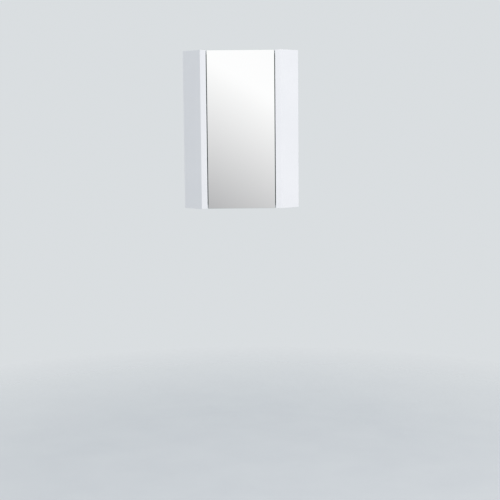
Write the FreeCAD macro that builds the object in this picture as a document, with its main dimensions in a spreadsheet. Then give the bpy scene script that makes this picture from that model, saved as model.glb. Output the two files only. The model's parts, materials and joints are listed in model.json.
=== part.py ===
# Corner mirror cabinet, in millimetres.
# Frame: the origin is where the outer faces of the two back panels meet, level with the underside.
# +Z is up, +Y points straight back and the door faces -Y.
import FreeCAD
import Part
import Sketcher
import math
import os
import re

# Driving sizes. Every one of them becomes a named cell of the sheet.
SIZES = {
    # carcass
    "wall_leg": 312,
    "return_depth": 96,
    "cabinet_height": 600,
    "board": 16,
    "back_board": 12,
    "rebate": 8,
    "tip_flat": 0.5,
    "paint_edge": 1,
    "fit_clear": 0.1,
    # door
    "hinge_gap": 3,
    "latch_gap": 3,
    "door_reveal": 1,
    "door_clear": 5,
    "door_board": 16,
    "door_back_bevel": 3,
    "mirror_thick": 4,
    "mirror_arris": 0.6,
    "tape_thick": 1,
    "tape_width": 40,
    "tape_inset": 28,
    "bumper_radius": 5,
    "bumper_inset": 14,
    "touch_clear": 0.3,
    # shelves and their pins
    "shelf_front": 52,
    "shelf_clear": 1,
    "lower_shelf_height": 196,
    "upper_shelf_height": 388,
    "pin_radius": 2.5,
    "pin_sink": 9,
    "pin_end_clear": 0.5,
    "pin_reach": 10,
    "pin_collar_radius": 4,
    "pin_collar": 0.8,
    "pin_pitch": 32,
    "pin_from_back": 18,
    "pin_from_corner": 110,
    # cam locks, cam bolts and dowels
    "cam_radius": 7.4,
    "cam_height": 12,
    "cam_from_side": 24,
    "cam_from_back": 14,
    "cam_bolt_radius": 3,
    "cam_bolt_sink": 11,
    "cam_bolt_past": 2,
    "cam_slot": 1.6,
    "cam_slot_depth": 2,
    "dowel_radius": 4,
    "dowel_sink": 12,
    "dowel_reach": 22,
    "dowel_from_back": 46,
    # screws
    "screw_radius": 1.75,
    "screw_head_radius": 3.5,
    "screw_head_height": 2,
    "back_screw_length": 32,
    "back_screw_end": 70,
    "back_screw_near": 80,
    "back_screw_far": 220,
    "wall_hole_radius": 2.75,
    "wall_hole_drop": 50,
    "wall_hole_near": 90,
    "wall_hole_far": 235,
    # hinges
    "hinge_end": 100,
    "hinge_pin_inset": 12,
    "hinge_pin_depth": 12,
    "hinge_pin_radius": 1.5,
    "hinge_pin_half": 12,
    "pin_run": 0.05,
    "eye_wall": 1.4,
    "arm_thick": 3.2,
    "arm_height": 14,
    "hook_clear": 1.2,
    "swing_clear": 1.5,
    "foot_length": 44,
    "arm_screw_at": 52,
    "arm_screw_sink": 10,
    "arm_screw_head": 2.2,
    "plate_thick": 3,
    "plate_start": 24,
    "plate_length": 42,
    "plate_height": 18,
    "wing_height": 48,
    "wing_length": 16,
    "wing_at": 36,
    "wing_screw_rise": 17,
    "plate_screw_length": 14,
    "cup_radius": 17.5,
    "cup_edge": 5,
    "cup_wall": 1.5,
    "cup_floor": 0.8,
    "cup_side_clear": 1,
    "eye_floor_clear": 0.4,
    "flange_thick": 1.2,
    "flange_rim": 1.2,
    "flange_tab_radius": 8,
    "flange_tab_offset": 7,
    "flange_screw_rise": 22.5,
    "cup_screw_length": 13,
    # push latch and its strike
    "latch_inset": 46,
    "latch_setback": 34,
    "latch_length": 50,
    "latch_width": 15,
    "latch_height": 15,
    "latch_back_wall": 4,
    "ear_length": 16,
    "ear_width": 11,
    "ear_thick": 2.5,
    "ear_setback": 17,
    "latch_screw_length": 14,
    "plunger_radius": 4,
    "plunger_inside": 24,
    "plunger_run": 0.15,
    "plunger_bore_depth": 18,
    "magnet_radius": 3,
    "magnet_thick": 3,
    "spring_radius": 2.2,
    "spring_wire": 0.4,
    "spring_pitch": 4,
    "spring_bore": 2.9,
    "strike_radius": 8,
    "strike_thick": 1.2,
    "strike_screw_radius": 1.25,
    "strike_screw_head": 2.5,
    "strike_screw_length": 11,
}

doc = FreeCAD.newDocument("corner_mirror_cabinet")
sheet = doc.addObject("Spreadsheet::Sheet", "dims")
for row, (alias, number) in enumerate(SIZES.items(), 1):
    sheet.set("A%d" % row, alias)
    sheet.set("B%d" % row, str(number))
    sheet.setAlias("B%d" % row, alias)
doc.recompute()

# Formulas that several pieces share.
# The carcass is worked out in the back frame: p runs along the left back panel and q along the right one.
HALF_FRONT = "((wall_leg - return_depth) / sqrt(2))"
FRONT = "(-(wall_leg + return_depth) / sqrt(2))"
STRIP = "(board * sqrt(2) - tip_flat)"
DOOR_LEFT = f"(-{HALF_FRONT} + {STRIP} + hinge_gap)"
DOOR_RIGHT = f"({HALF_FRONT} - {STRIP} - latch_gap)"
DOOR_WIDTH = f"({DOOR_RIGHT} - {DOOR_LEFT})"
DOOR_HEIGHT = "(cabinet_height - 2 * door_reveal)"
DOOR_THICK = "(mirror_thick + tape_thick + door_board)"
DOOR_BACK = f"({FRONT} + {DOOR_THICK})"
BOARD_FRONT = f"({DOOR_THICK} + door_clear)"
INNER = "(wall_leg - board)"
BACK_EDGE = "(wall_leg - board + rebate)"
BOTTOM_MID = "(board / 2)"
TOP_MID = "(cabinet_height - board / 2)"
PIN_HOLE_DEPTH = "(pin_sink + pin_end_clear)"

HINGE_X = f"({DOOR_LEFT} + hinge_pin_inset)"
HINGE_Y = f"({FRONT} + hinge_pin_depth)"
HINGE_TO_FACE = "((hinge_gap - tip_flat + hinge_pin_inset + hinge_pin_depth) / sqrt(2))"
HINGE_P = f"({INNER} - {HINGE_TO_FACE})"
HINGE_Q = "(return_depth + board + (hinge_gap - tip_flat + hinge_pin_inset - hinge_pin_depth) / sqrt(2))"
HINGE_HEIGHTS = {"lower": "hinge_end", "upper": "(cabinet_height - hinge_end)"}
HOOK_RADIUS = "(sqrt(hinge_pin_inset ^ 2 + hinge_pin_depth ^ 2) + hook_clear)"
SWING_SIDE = "(sqrt(hinge_pin_inset ^ 2 + hinge_pin_depth ^ 2) - hinge_pin_inset + swing_clear)"
EYE_RADIUS = "(hinge_pin_radius + eye_wall)"
CUP_X = f"({DOOR_LEFT} + cup_edge + cup_radius)"
CUP_INSIDE = f"({DOOR_THICK} - hinge_pin_depth + {EYE_RADIUS} + eye_floor_clear)"
CUP_DEPTH = f"({CUP_INSIDE} + cup_floor)"

LATCH_X = f"({DOOR_RIGHT} - latch_inset)"
LATCH_Y = f"({FRONT} + latch_setback)"
LATCH_TOP = "(cabinet_height - board)"
LATCH_Z = f"({LATCH_TOP} - latch_height / 2)"
EAR_X = "(latch_width / 2 + ear_width / 2)"
PLUNGER_TIP = f"({DOOR_BACK} + strike_thick + touch_clear)"
PLUNGER_LENGTH = f"({LATCH_Y} + plunger_inside - {PLUNGER_TIP})"

TURN = {
    "z": FreeCAD.Rotation(),
    "-z": FreeCAD.Rotation(FreeCAD.Vector(1, 0, 0), 180),
    "x": FreeCAD.Rotation(FreeCAD.Vector(0, 1, 0), 90),
    "y": FreeCAD.Rotation(FreeCAD.Vector(1, 0, 0), -90),
    "-y": FreeCAD.Rotation(FreeCAD.Vector(1, 0, 0), 90),
}
BACK_FRAME = FreeCAD.Rotation(FreeCAD.Vector(0, 0, 1), -135)
HOOK_START = FreeCAD.Rotation(FreeCAD.Vector(0, 0, 1), 135)
HOOK_SWEEP = 135
NEAR = 0.01
# Where the corners of a sketch lie before its constraints pull them into place.
ROUGH_MIDDLE = 200
ROUGH_RADIUS = 90
size_names = re.compile(r"\b(" + "|".join(SIZES) + r")\b")
nodes = []


def cells(formula):
    """A formula with its size names turned into cells of the sheet."""
    return size_names.sub(r"dims.\1", str(formula))


def bind(thing, **formulas):
    for prop, formula in formulas.items():
        thing.setExpression(prop, cells(formula))


def place(thing, x, y, z, turn=TURN["z"]):
    thing.Placement = FreeCAD.Placement(FreeCAD.Vector(), turn)
    for axis, formula in zip("xyz", (x, y, z)):
        thing.setExpression("Placement.Base." + axis, cells(formula))


def block(name, length, width, height, x, y, z, turn=TURN["z"]):
    box = doc.addObject("Part::Box", name)
    bind(box, Length=length, Width=width, Height=height)
    place(box, x, y, z, turn)
    return box


def rod(name, radius, length, x, y, z, axis="z"):
    cylinder = doc.addObject("Part::Cylinder", name)
    bind(cylinder, Radius=radius, Height=length)
    place(cylinder, x, y, z, TURN[axis])
    return cylinder


def cone(name, radius, end_radius, length, x, y, z, axis):
    taper = doc.addObject("Part::Cone", name)
    bind(taper, Radius1=radius, Radius2=end_radius, Height=length)
    place(taper, x, y, z, TURN[axis])
    return taper


def join(name, pieces):
    fused = doc.addObject("Part::MultiFuse", name)
    fused.Shapes = pieces
    fused.Refine = True
    return fused


def group(name, pieces):
    compound = doc.addObject("Part::Compound", name)
    compound.Links = pieces
    return compound


def cut(name, base, tools):
    result = doc.addObject("Part::Cut", name)
    result.Base = base
    result.Tool = tools[0] if len(tools) == 1 else group(name + "_tools", tools)
    result.Refine = True
    return result


def common(name, base, tool):
    result = doc.addObject("Part::Common", name)
    result.Base = base
    result.Tool = tool
    return result


def finish(piece, label, in_back_frame=False):
    """Name a finished piece, and turn it to face the front if it was drawn in the back frame."""
    piece.Label = label
    if in_back_frame:
        piece.Placement = FreeCAD.Placement(FreeCAD.Vector(), BACK_FRAME)
    nodes.append(piece)


def screw(name, radius, head_radius, length, x, y, z, axis):
    """Countersunk screw whose head is level with the point it starts from."""
    head = cone(name + "_head", head_radius, radius, "screw_head_height", x, y, z, axis)
    shank = rod(name + "_shank", radius, length, x, y, z, axis)
    return join(name, [head, shank])


def screw_hole(name, radius, head_radius, length, x, y, z, axis):
    """Clearance for the screw of the same place and sizes."""
    wide = f"({radius} + fit_clear)"
    head = cone(name + "_sink", f"({head_radius} + fit_clear)", wide, "(screw_head_height + fit_clear)",
                x, y, z, axis)
    shank = rod(name + "_bore", wide, f"({length} + fit_clear)", x, y, z, axis)
    return group(name, [head, shank])


def padded(name, corners, thick, level):
    """Body padded upwards from an outline of corners, given as pairs of formulas."""
    body = doc.addObject("PartDesign::Body", name + "_body")
    plane = [feature for feature in body.Origin.OriginFeatures if feature.Role == "XY_Plane"][0]
    sketch = body.newObject("Sketcher::SketchObject", name + "_outline")
    sketch.AttachmentSupport = [(plane, "")]
    sketch.MapMode = "FlatFace"
    bind(sketch, **{"AttachmentOffset.Base.z": level})
    count = len(corners)
    start = []
    for index in range(count):
        angle = 2 * math.pi * index / count
        start.append(FreeCAD.Vector(ROUGH_MIDDLE + ROUGH_RADIUS * math.cos(angle),
                                    ROUGH_MIDDLE + ROUGH_RADIUS * math.sin(angle), 0))
    for index in range(count):
        sketch.addGeometry(Part.LineSegment(start[index], start[(index + 1) % count]), False)
    for index in range(count):
        sketch.addConstraint(Sketcher.Constraint("Coincident", index, 2, (index + 1) % count, 1))
    for index, corner in enumerate(corners):
        for axis, formula, along, own in zip("XY", corner, start[index], (-2, -1)):
            if formula == "0":
                sketch.addConstraint(Sketcher.Constraint("PointOnObject", index, 1, own))
                continue
            number = sketch.addConstraint(Sketcher.Constraint("Distance" + axis, -1, 1, index, 1, along))
            label = "corner_%d_%s" % (index, axis.lower())
            sketch.renameConstraint(number, label)
            sketch.setExpression("Constraints." + label, cells(formula))
    pad = body.newObject("PartDesign::Pad", name + "_pad")
    pad.Profile = sketch
    bind(pad, Length=thick)
    doc.recompute()
    return body, pad


def edges_where(shape, wanted):
    return ["Edge%d" % number for number, edge in enumerate(shape.Edges, 1) if wanted(edge)]


def swapped(pair, flip):
    """The same place on the right half of the carcass, where flip is true."""
    return (pair[1], pair[0]) if flip else pair


def to_back_frame(x, y):
    """A place in the part's own frame, as formulas in the back frame."""
    return f"((-({x}) - ({y})) / sqrt(2))", f"((({x}) - ({y})) / sqrt(2))"


# Places that holes and the pieces in them share, as p, q and height in the back frame, on the left half.
SHELF_HEIGHTS = {"lower": "lower_shelf_height", "upper": "upper_shelf_height"}
SIDE_PIN_Q = "(back_board + pin_from_back)"
BACK_PIN_P = "pin_from_corner"
BOARD_LEVELS = {"bottom": BOTTOM_MID, "top": TOP_MID}
CAM_Q = "(back_board + cam_from_back)"
DOWEL_Q = "(back_board + dowel_from_back)"
SIDE_SCREW_P = f"({INNER} + rebate / 2)"
SCREW_ROWS = ("back_screw_end", "cabinet_height / 2", "(cabinet_height - back_screw_end)")
WALL_HOLE_Z = "(cabinet_height - wall_hole_drop)"
WALL_HOLES = ("wall_hole_near", "wall_hole_far")
PLATE_FACE = f"({INNER} - plate_thick)"
PLATE_Q = f"({HINGE_Q} - plate_start - plate_length)"
WING_Q = f"({HINGE_Q} - wing_at - wing_length / 2)"
WING_SCREW_Q = f"({HINGE_Q} - wing_at)"
ARM_SCREW_Q = f"({HINGE_Q} - arm_screw_at)"
BACK_SCREW = ("screw_radius", "screw_head_radius", "back_screw_length")
PLATE_SCREW = ("screw_radius", "screw_head_radius", "plate_screw_length")
CUP_SCREW = ("screw_radius", "screw_head_radius", "cup_screw_length")
LATCH_SCREW = ("screw_radius", "screw_head_radius", "latch_screw_length")
STRIKE_SCREW = ("strike_screw_radius", "strike_screw_head", "strike_screw_length")


def shelf_pin_levels(shelf):
    """Three rows of pin holes for a shelf: the pin sits in the middle one."""
    middle = f"({SHELF_HEIGHTS[shelf]} - pin_radius - fit_clear)"
    return [f"({middle} + {step} * pin_pitch)" for step in (-1, 0, 1)]


def back_screw_places(flip):
    """p, q and height of the screws through one back panel, all driven from behind."""
    places = [(SIDE_SCREW_P, row) for row in SCREW_ROWS]
    for level in BOARD_LEVELS.values():
        places += [("back_screw_near", level), ("back_screw_far", level)]
    if not flip:
        places += [("(back_board / 2)", row) for row in SCREW_ROWS]
    return [swapped((along, "0"), flip) + (row,) for along, row in places]


def plate_screw_places():
    places = []
    for height in HINGE_HEIGHTS.values():
        for sign in "+-":
            places.append((PLATE_FACE, WING_SCREW_Q, f"({height} {sign} wing_screw_rise)"))
    return places


def cup_screw_places():
    places = []
    for height in HINGE_HEIGHTS.values():
        for sign in "+-":
            level = f"({height} {sign} flange_screw_rise)"
            places.append((f"({CUP_X} + flange_tab_offset)", f"({DOOR_BACK} + flange_thick)", level))
    return places


def latch_screw_places():
    ear_y = f"({LATCH_Y} + ear_setback + ear_length / 2)"
    level = f"({LATCH_TOP} - ear_thick)"
    return [(f"({LATCH_X} {sign} {EAR_X})", ear_y, level) for sign in "+-"]


def side_panel(side, flip):
    """A return of the cabinet: its front edge is mitred at 45 degrees, level with the mirror."""
    name = side + "_side_panel"
    tip_p = "(wall_leg - board + tip_flat / sqrt(2))"
    tip_q = "(return_depth + board - tip_flat / sqrt(2))"
    outline = [
        ("wall_leg", "0"),
        ("wall_leg", "return_depth"),
        (tip_p, tip_q),
        (INNER, "(return_depth + board - tip_flat * sqrt(2))"),
        (INNER, "back_board"),
        (BACK_EDGE, "back_board"),
        (BACK_EDGE, "0"),
    ]
    body, pad = padded(name, [swapped(corner, flip) for corner in outline], "cabinet_height", "0")
    front_sum = SIZES["wall_leg"] + SIZES["return_depth"]

    def shows(edge):
        points = [vertex.Point for vertex in edge.Vertexes]
        on_side = all(abs((point.y if flip else point.x) - SIZES["wall_leg"]) < NEAR for point in points)
        on_front = all(abs(point.x + point.y - front_sum) < NEAR for point in points)
        upright = abs(points[0].z - points[1].z) > NEAR
        return (on_side and on_front) if upright else (on_side or on_front)

    soft = body.newObject("PartDesign::Fillet", name + "_soft_edges")
    soft.Base = (pad, edges_where(pad.Shape, shows))
    bind(soft, Radius="paint_edge")
    axis = "y" if flip else "x"
    holes = []

    def drill(label, radius, depth, q, z):
        p_q = swapped((INNER, q), flip)
        holes.append(rod(f"{name}_{label}_{len(holes)}", f"({radius} + fit_clear)", depth, *p_q, z, axis))

    for shelf in SHELF_HEIGHTS:
        for level in shelf_pin_levels(shelf):
            drill("pin_hole", "pin_radius", PIN_HOLE_DEPTH, SIDE_PIN_Q, level)
    for level in BOARD_LEVELS.values():
        drill("cam_bolt_hole", "cam_bolt_radius", "(cam_bolt_sink + fit_clear)", CAM_Q, level)
        drill("dowel_hole", "dowel_radius", "(dowel_sink + fit_clear)", DOWEL_Q, level)
    if not flip:
        for place_of in plate_screw_places():
            holes.append(screw_hole(f"{name}_plate_screw_{len(holes)}", *PLATE_SCREW, *place_of, "x"))
        for height in HINGE_HEIGHTS.values():
            drill("arm_screw_hole", "screw_radius", "(arm_screw_sink + fit_clear)", ARM_SCREW_Q, height)
    for row in SCREW_ROWS:
        start = swapped((SIDE_SCREW_P, "0"), flip)
        back_axis = "x" if flip else "y"
        holes.append(screw_hole(f"{name}_back_screw_{len(holes)}", *BACK_SCREW, *start, row, back_axis))
    finish(cut(name, body, holes), name, in_back_frame=True)


def fixed_board(level_name):
    """Top or bottom board, between the side panels: it is notched for the door and its swing."""
    name = level_name + "_board"
    on_top = level_name == "top"
    front_y = f"({FRONT} + {BOARD_FRONT})"
    left_x = f"({DOOR_LEFT} - {SWING_SIDE})"
    right_x = f"({DOOR_RIGHT} + {SWING_SIDE})"
    outline = [
        ("back_board", "back_board"),
        (INNER, "back_board"),
        (INNER, f"({INNER} + sqrt(2) * {left_x})"),
        to_back_frame(left_x, front_y),
        to_back_frame(right_x, front_y),
        (f"({INNER} - sqrt(2) * {right_x})", INNER),
        ("back_board", INNER),
    ]
    body, pad = padded(name, outline, "board", "(cabinet_height - board)" if on_top else "0")
    level = BOARD_LEVELS[level_name]
    holes = []
    for flip in (False, True):
        axis = "y" if flip else "x"
        cam = swapped((f"({INNER} - cam_from_side)", CAM_Q), flip)
        face = "cabinet_height" if on_top else "0"
        holes.append(rod(f"{name}_cam_hole_{flip}", "(cam_radius + fit_clear)", "(cam_height + fit_clear)",
                         *cam, face, "-z" if on_top else "z"))
        holes.append(rod(f"{name}_bolt_hole_{flip}", "(cam_bolt_radius + fit_clear)", "cam_from_side",
                         *cam, level, axis))
        dowel = swapped((f"({INNER} - dowel_reach - fit_clear)", DOWEL_Q), flip)
        holes.append(rod(f"{name}_dowel_hole_{flip}", "(dowel_radius + fit_clear)",
                         "(dowel_reach + fit_clear)", *dowel, level, axis))
        for along in ("back_screw_near", "back_screw_far"):
            start = swapped((along, "0"), flip)
            back_axis = "x" if flip else "y"
            holes.append(screw_hole(f"{name}_{along}_{flip}", *BACK_SCREW, *start, level, back_axis))
    if on_top:
        for x, y, z in latch_screw_places():
            p_q = to_back_frame(x, y)
            holes.append(screw_hole(f"{name}_latch_screw_{len(holes)}", *LATCH_SCREW, *p_q, z, "z"))
    finish(cut(name, body, holes), name, in_back_frame=True)


def back_panel(side, flip):
    """Panel behind, let into the rebate of the side panel and drilled for the screws that it hangs on."""
    name = side + "_back_panel"
    if flip:
        slab = block(name + "_slab", "back_board", f"({BACK_EDGE} - back_board)", "cabinet_height",
                     "0", "back_board", "0")
    else:
        slab = block(name + "_slab", BACK_EDGE, "back_board", "cabinet_height", "0", "0", "0")
    axis = "x" if flip else "y"
    holes = []
    for place_of in back_screw_places(flip):
        holes.append(screw_hole(f"{name}_screw_{len(holes)}", *BACK_SCREW, *place_of, axis))
    if flip:
        for row in SCREW_ROWS:
            holes.append(screw_hole(f"{name}_corner_screw_{len(holes)}", *BACK_SCREW,
                                    "(back_board / 2)", "0", row, "y"))
    for along in WALL_HOLES:
        start = swapped((along, "0"), flip)
        holes.append(rod(f"{name}_{along}", "wall_hole_radius", "back_board", *start, WALL_HOLE_Z, axis))
    for shelf in SHELF_HEIGHTS:
        for level in shelf_pin_levels(shelf):
            start = swapped((BACK_PIN_P, f"(back_board - {PIN_HOLE_DEPTH})"), flip)
            holes.append(rod(f"{name}_pin_hole_{len(holes)}", "(pin_radius + fit_clear)", PIN_HOLE_DEPTH,
                             *start, level, axis))
    finish(cut(name, slab, holes), name, in_back_frame=True)


def shelf_board(shelf):
    """Loose shelf on four pins, clear of the panels round it."""
    name = shelf + "_shelf"
    near = "(back_board + shelf_clear)"
    far = f"({INNER} - shelf_clear)"
    front_q = "(return_depth + board + shelf_clear - sqrt(2) * shelf_front)"
    outline = [(near, near), (far, near), (far, front_q), (front_q, far), (near, far)]
    body, pad = padded(name, outline, "board", SHELF_HEIGHTS[shelf])
    front_sum = SIZES["wall_leg"] + SIZES["return_depth"] - math.sqrt(2) * SIZES["shelf_front"]

    def on_front(edge):
        points = [vertex.Point for vertex in edge.Vertexes]
        level = abs(points[0].z - points[1].z) < NEAR
        return level and all(abs(point.x + point.y - front_sum) < NEAR for point in points)

    soft = body.newObject("PartDesign::Fillet", name + "_soft_edges")
    soft.Base = (pad, edges_where(pad.Shape, on_front))
    bind(soft, Radius="paint_edge")
    finish(body, name, in_back_frame=True)


def shelf_pins():
    pins = []
    for shelf in SHELF_HEIGHTS:
        level = shelf_pin_levels(shelf)[1]
        for flip in (False, True):
            side_axis = "y" if flip else "x"
            back_axis = "x" if flip else "y"
            shanks = [
                (swapped((f"({INNER} - pin_reach)", SIDE_PIN_Q), flip), side_axis,
                 swapped((f"({INNER} - pin_collar)", SIDE_PIN_Q), flip)),
                (swapped((BACK_PIN_P, "(back_board - pin_sink)"), flip), back_axis,
                 swapped((BACK_PIN_P, "back_board"), flip)),
            ]
            for start, axis, collar_at in shanks:
                name = f"shelf_pin_{len(pins)}"
                shank = rod(name + "_shank", "pin_radius", "(pin_sink + pin_reach)", *start, level, axis)
                collar = rod(name + "_collar", "pin_collar_radius", "pin_collar", *collar_at, level, axis)
                pins.append(join(name, [shank, collar]))
    finish(group("shelf_pins", pins), "shelf_pins", in_back_frame=True)


def cam_joints():
    """Cam locks, their bolts and the dowels between the side panels and the top and bottom boards."""
    cams, bolts, dowels = [], [], []
    for level_name, level in BOARD_LEVELS.items():
        on_top = level_name == "top"
        face = "cabinet_height" if on_top else "0"
        downwards = "-z" if on_top else "z"
        for flip in (False, True):
            axis = "y" if flip else "x"
            tag = f"{level_name}_{flip}"
            p, q = swapped((f"({INNER} - cam_from_side)", CAM_Q), flip)
            disc = rod(f"cam_{tag}_disc", "cam_radius", "cam_height", p, q, face, downwards)
            bolt_start = swapped((f"({INNER} - cam_from_side - cam_bolt_past)", CAM_Q), flip)
            socket_start = swapped((f"({INNER} - cam_from_side - cam_bolt_past - fit_clear)", CAM_Q), flip)
            socket = rod(f"cam_{tag}_socket", "(cam_bolt_radius + fit_clear)", "(2 * cam_radius)",
                         *socket_start, level, axis)
            slot_z = "(cabinet_height - cam_slot_depth)" if on_top else "0"
            slots = []
            for long_p, long_q in (("cam_radius", "cam_slot"), ("cam_slot", "cam_radius")):
                slots.append(block(f"cam_{tag}_slot_{len(slots)}", long_p, long_q, "cam_slot_depth",
                                   f"({p} - {long_p} / 2)", f"({q} - {long_q} / 2)", slot_z))
            cams.append(cut(f"cam_{tag}", disc, [socket] + slots))
            bolts.append(rod(f"cam_bolt_{tag}", "cam_bolt_radius",
                             "(cam_from_side + cam_bolt_past + cam_bolt_sink)", *bolt_start, level, axis))
            dowel_start = swapped((f"({INNER} - dowel_reach)", DOWEL_Q), flip)
            dowels.append(rod(f"dowel_{tag}", "dowel_radius", "(dowel_reach + dowel_sink)",
                              *dowel_start, level, axis))
    finish(group("cam_locks", cams), "cam_locks", in_back_frame=True)
    finish(group("cam_bolts", bolts), "cam_bolts", in_back_frame=True)
    finish(group("dowels", dowels), "dowels", in_back_frame=True)


def back_screws():
    screws = []
    for flip in (False, True):
        for place_of in back_screw_places(flip):
            screws.append(screw(f"back_screw_{len(screws)}", *BACK_SCREW, *place_of, "x" if flip else "y"))
    finish(group("back_screws", screws), "back_screws", in_back_frame=True)


def hinge_arm(which, height):
    """Hooked arm: it leaves the cup, passes round the swing of the door edge and stands on its plate."""
    name = which + "_hinge_arm"
    low = f"({height} - arm_height / 2)"
    outer = f"({HOOK_RADIUS} + arm_thick)"
    eye = rod(name + "_eye", EYE_RADIUS, "arm_height", HINGE_P, HINGE_Q, low)
    half_step = "(arm_thick / 2 / sqrt(2))"
    bar = block(name + "_bar", outer, "arm_thick", "arm_height",
                f"({HINGE_P} + {half_step})", f"({HINGE_Q} + {half_step})", low, HOOK_START)
    sector = rod(name + "_sector", outer, "arm_height", HINGE_P, HINGE_Q, low)
    sector.Angle = HOOK_SWEEP
    sector.Placement.Rotation = HOOK_START
    hollow = rod(name + "_hollow", HOOK_RADIUS, "arm_height", HINGE_P, HINGE_Q, low)
    hook = cut(name + "_hook", sector, [hollow])
    foot_top = f"({PLATE_FACE} - arm_thick)"
    leg = block(name + "_leg", f"({PLATE_FACE} - {HINGE_P})", "arm_thick", "arm_height",
                HINGE_P, f"({HINGE_Q} - {outer})", low)
    foot = block(name + "_foot", "arm_thick", "foot_length", "arm_height",
                 foot_top, f"({HINGE_Q} - {HOOK_RADIUS} - foot_length)", low)
    solid = join(name + "_solid", [eye, bar, hook, leg, foot])
    bore = rod(name + "_bore", "(hinge_pin_radius + pin_run)", "arm_height", HINGE_P, HINGE_Q, low)
    hole = rod(name + "_hole", "(screw_radius + fit_clear)", "arm_thick", foot_top, ARM_SCREW_Q, height, "x")
    finish(cut(name, solid, [bore, hole]), name, in_back_frame=True)


def hinge_plate(which, height):
    """Cross-shaped mounting plate on the inner face of the left side panel."""
    name = which + "_hinge_plate"
    bar = block(name + "_bar", "plate_thick", "plate_length", "plate_height",
                PLATE_FACE, PLATE_Q, f"({height} - plate_height / 2)")
    wings = block(name + "_wings", "plate_thick", "wing_length", "wing_height",
                  PLATE_FACE, WING_Q, f"({height} - wing_height / 2)")
    holes = [rod(name + "_arm_hole", "(screw_radius + fit_clear)", "plate_thick",
                 PLATE_FACE, ARM_SCREW_Q, height, "x")]
    for place_of in plate_screw_places():
        holes.append(screw_hole(f"{name}_screw_{len(holes)}", *PLATE_SCREW, *place_of, "x"))
    finish(cut(name, join(name + "_solid", [bar, wings]), holes), name, in_back_frame=True)


def hinge_screws():
    plate_screws = []
    for place_of in plate_screw_places():
        plate_screws.append(screw(f"plate_screw_{len(plate_screws)}", *PLATE_SCREW, *place_of, "x"))
    finish(group("plate_screws", plate_screws), "plate_screws", in_back_frame=True)
    arm_screws = []
    for which, height in HINGE_HEIGHTS.items():
        seat = f"({PLATE_FACE} - arm_thick)"
        head = rod(f"{which}_arm_screw_head", "screw_head_radius", "arm_screw_head",
                   f"({seat} - arm_screw_head)", ARM_SCREW_Q, height, "x")
        shank = rod(f"{which}_arm_screw_shank", "screw_radius", "(arm_thick + plate_thick + arm_screw_sink)",
                    seat, ARM_SCREW_Q, height, "x")
        slot = block(f"{which}_arm_screw_slot", "(arm_screw_head / 2)", "(2 * screw_head_radius)", "cam_slot",
                     f"({seat} - arm_screw_head)", f"({ARM_SCREW_Q} - screw_head_radius)",
                     f"({height} - cam_slot / 2)")
        solid = join(f"{which}_arm_screw_solid", [head, shank])
        arm_screws.append(cut(f"{which}_arm_screw", solid, [slot]))
    finish(group("arm_screws", arm_screws), "arm_screws", in_back_frame=True)


def hinge_cup(which, height):
    """Cup let into the back of the door, with a pocket for the hooked arm and a two-hole flange."""
    name = which + "_hinge_cup"
    barrel = rod(name + "_barrel", "cup_radius", CUP_DEPTH, CUP_X, DOOR_BACK, height, "-y")
    rim = rod(name + "_rim", "(cup_radius + flange_rim)", "flange_thick", CUP_X, DOOR_BACK, height, "y")
    tab_x = f"({CUP_X} + flange_tab_offset)"
    tabs = []
    for sign in "+-":
        tabs.append(rod(f"{name}_tab_{len(tabs)}", "flange_tab_radius", "flange_thick", tab_x, DOOR_BACK,
                        f"({height} {sign} flange_screw_rise)", "y"))
    bridge = block(name + "_bridge", "(2 * flange_tab_radius)", "flange_thick", "(2 * flange_screw_rise)",
                   f"({tab_x} - flange_tab_radius)", DOOR_BACK, f"({height} - flange_screw_rise)")
    solid = join(name + "_solid", [barrel, rim, bridge] + tabs)
    inside = rod(name + "_inside", "(cup_radius - cup_wall)", f"({CUP_INSIDE} + flange_thick)",
                 CUP_X, f"({DOOR_BACK} + flange_thick)", height, "-y")
    channel_half = "(arm_height / 2 + cup_side_clear)"
    channel = block(name + "_channel", "(2 * cup_radius)", f"({CUP_INSIDE} + flange_thick)",
                    f"(2 * {channel_half})", f"({CUP_X} - cup_radius)", f"({DOOR_BACK} - {CUP_INSIDE})",
                    f"({height} - {channel_half})")
    holes = [common(name + "_pocket", inside, channel),
             rod(name + "_pin_hole", "(hinge_pin_radius + pin_run)", "(2 * hinge_pin_half + fit_clear)",
                 HINGE_X, HINGE_Y, f"({height} - hinge_pin_half - fit_clear / 2)")]
    for place_of in cup_screw_places():
        holes.append(screw_hole(f"{name}_screw_{len(holes)}", *CUP_SCREW, *place_of, "-y"))
    finish(cut(name, solid, holes), name)


def hinge_pins():
    pins = []
    for which, height in HINGE_HEIGHTS.items():
        pins.append(rod(which + "_hinge_pin", "hinge_pin_radius", "(2 * hinge_pin_half)",
                        HINGE_X, HINGE_Y, f"({height} - hinge_pin_half)"))
    finish(group("hinge_pins", pins), "hinge_pins")


def cup_screws():
    screws = []
    for place_of in cup_screw_places():
        screws.append(screw(f"cup_screw_{len(screws)}", *CUP_SCREW, *place_of, "-y"))
    finish(group("cup_screws", screws), "cup_screws")


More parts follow.
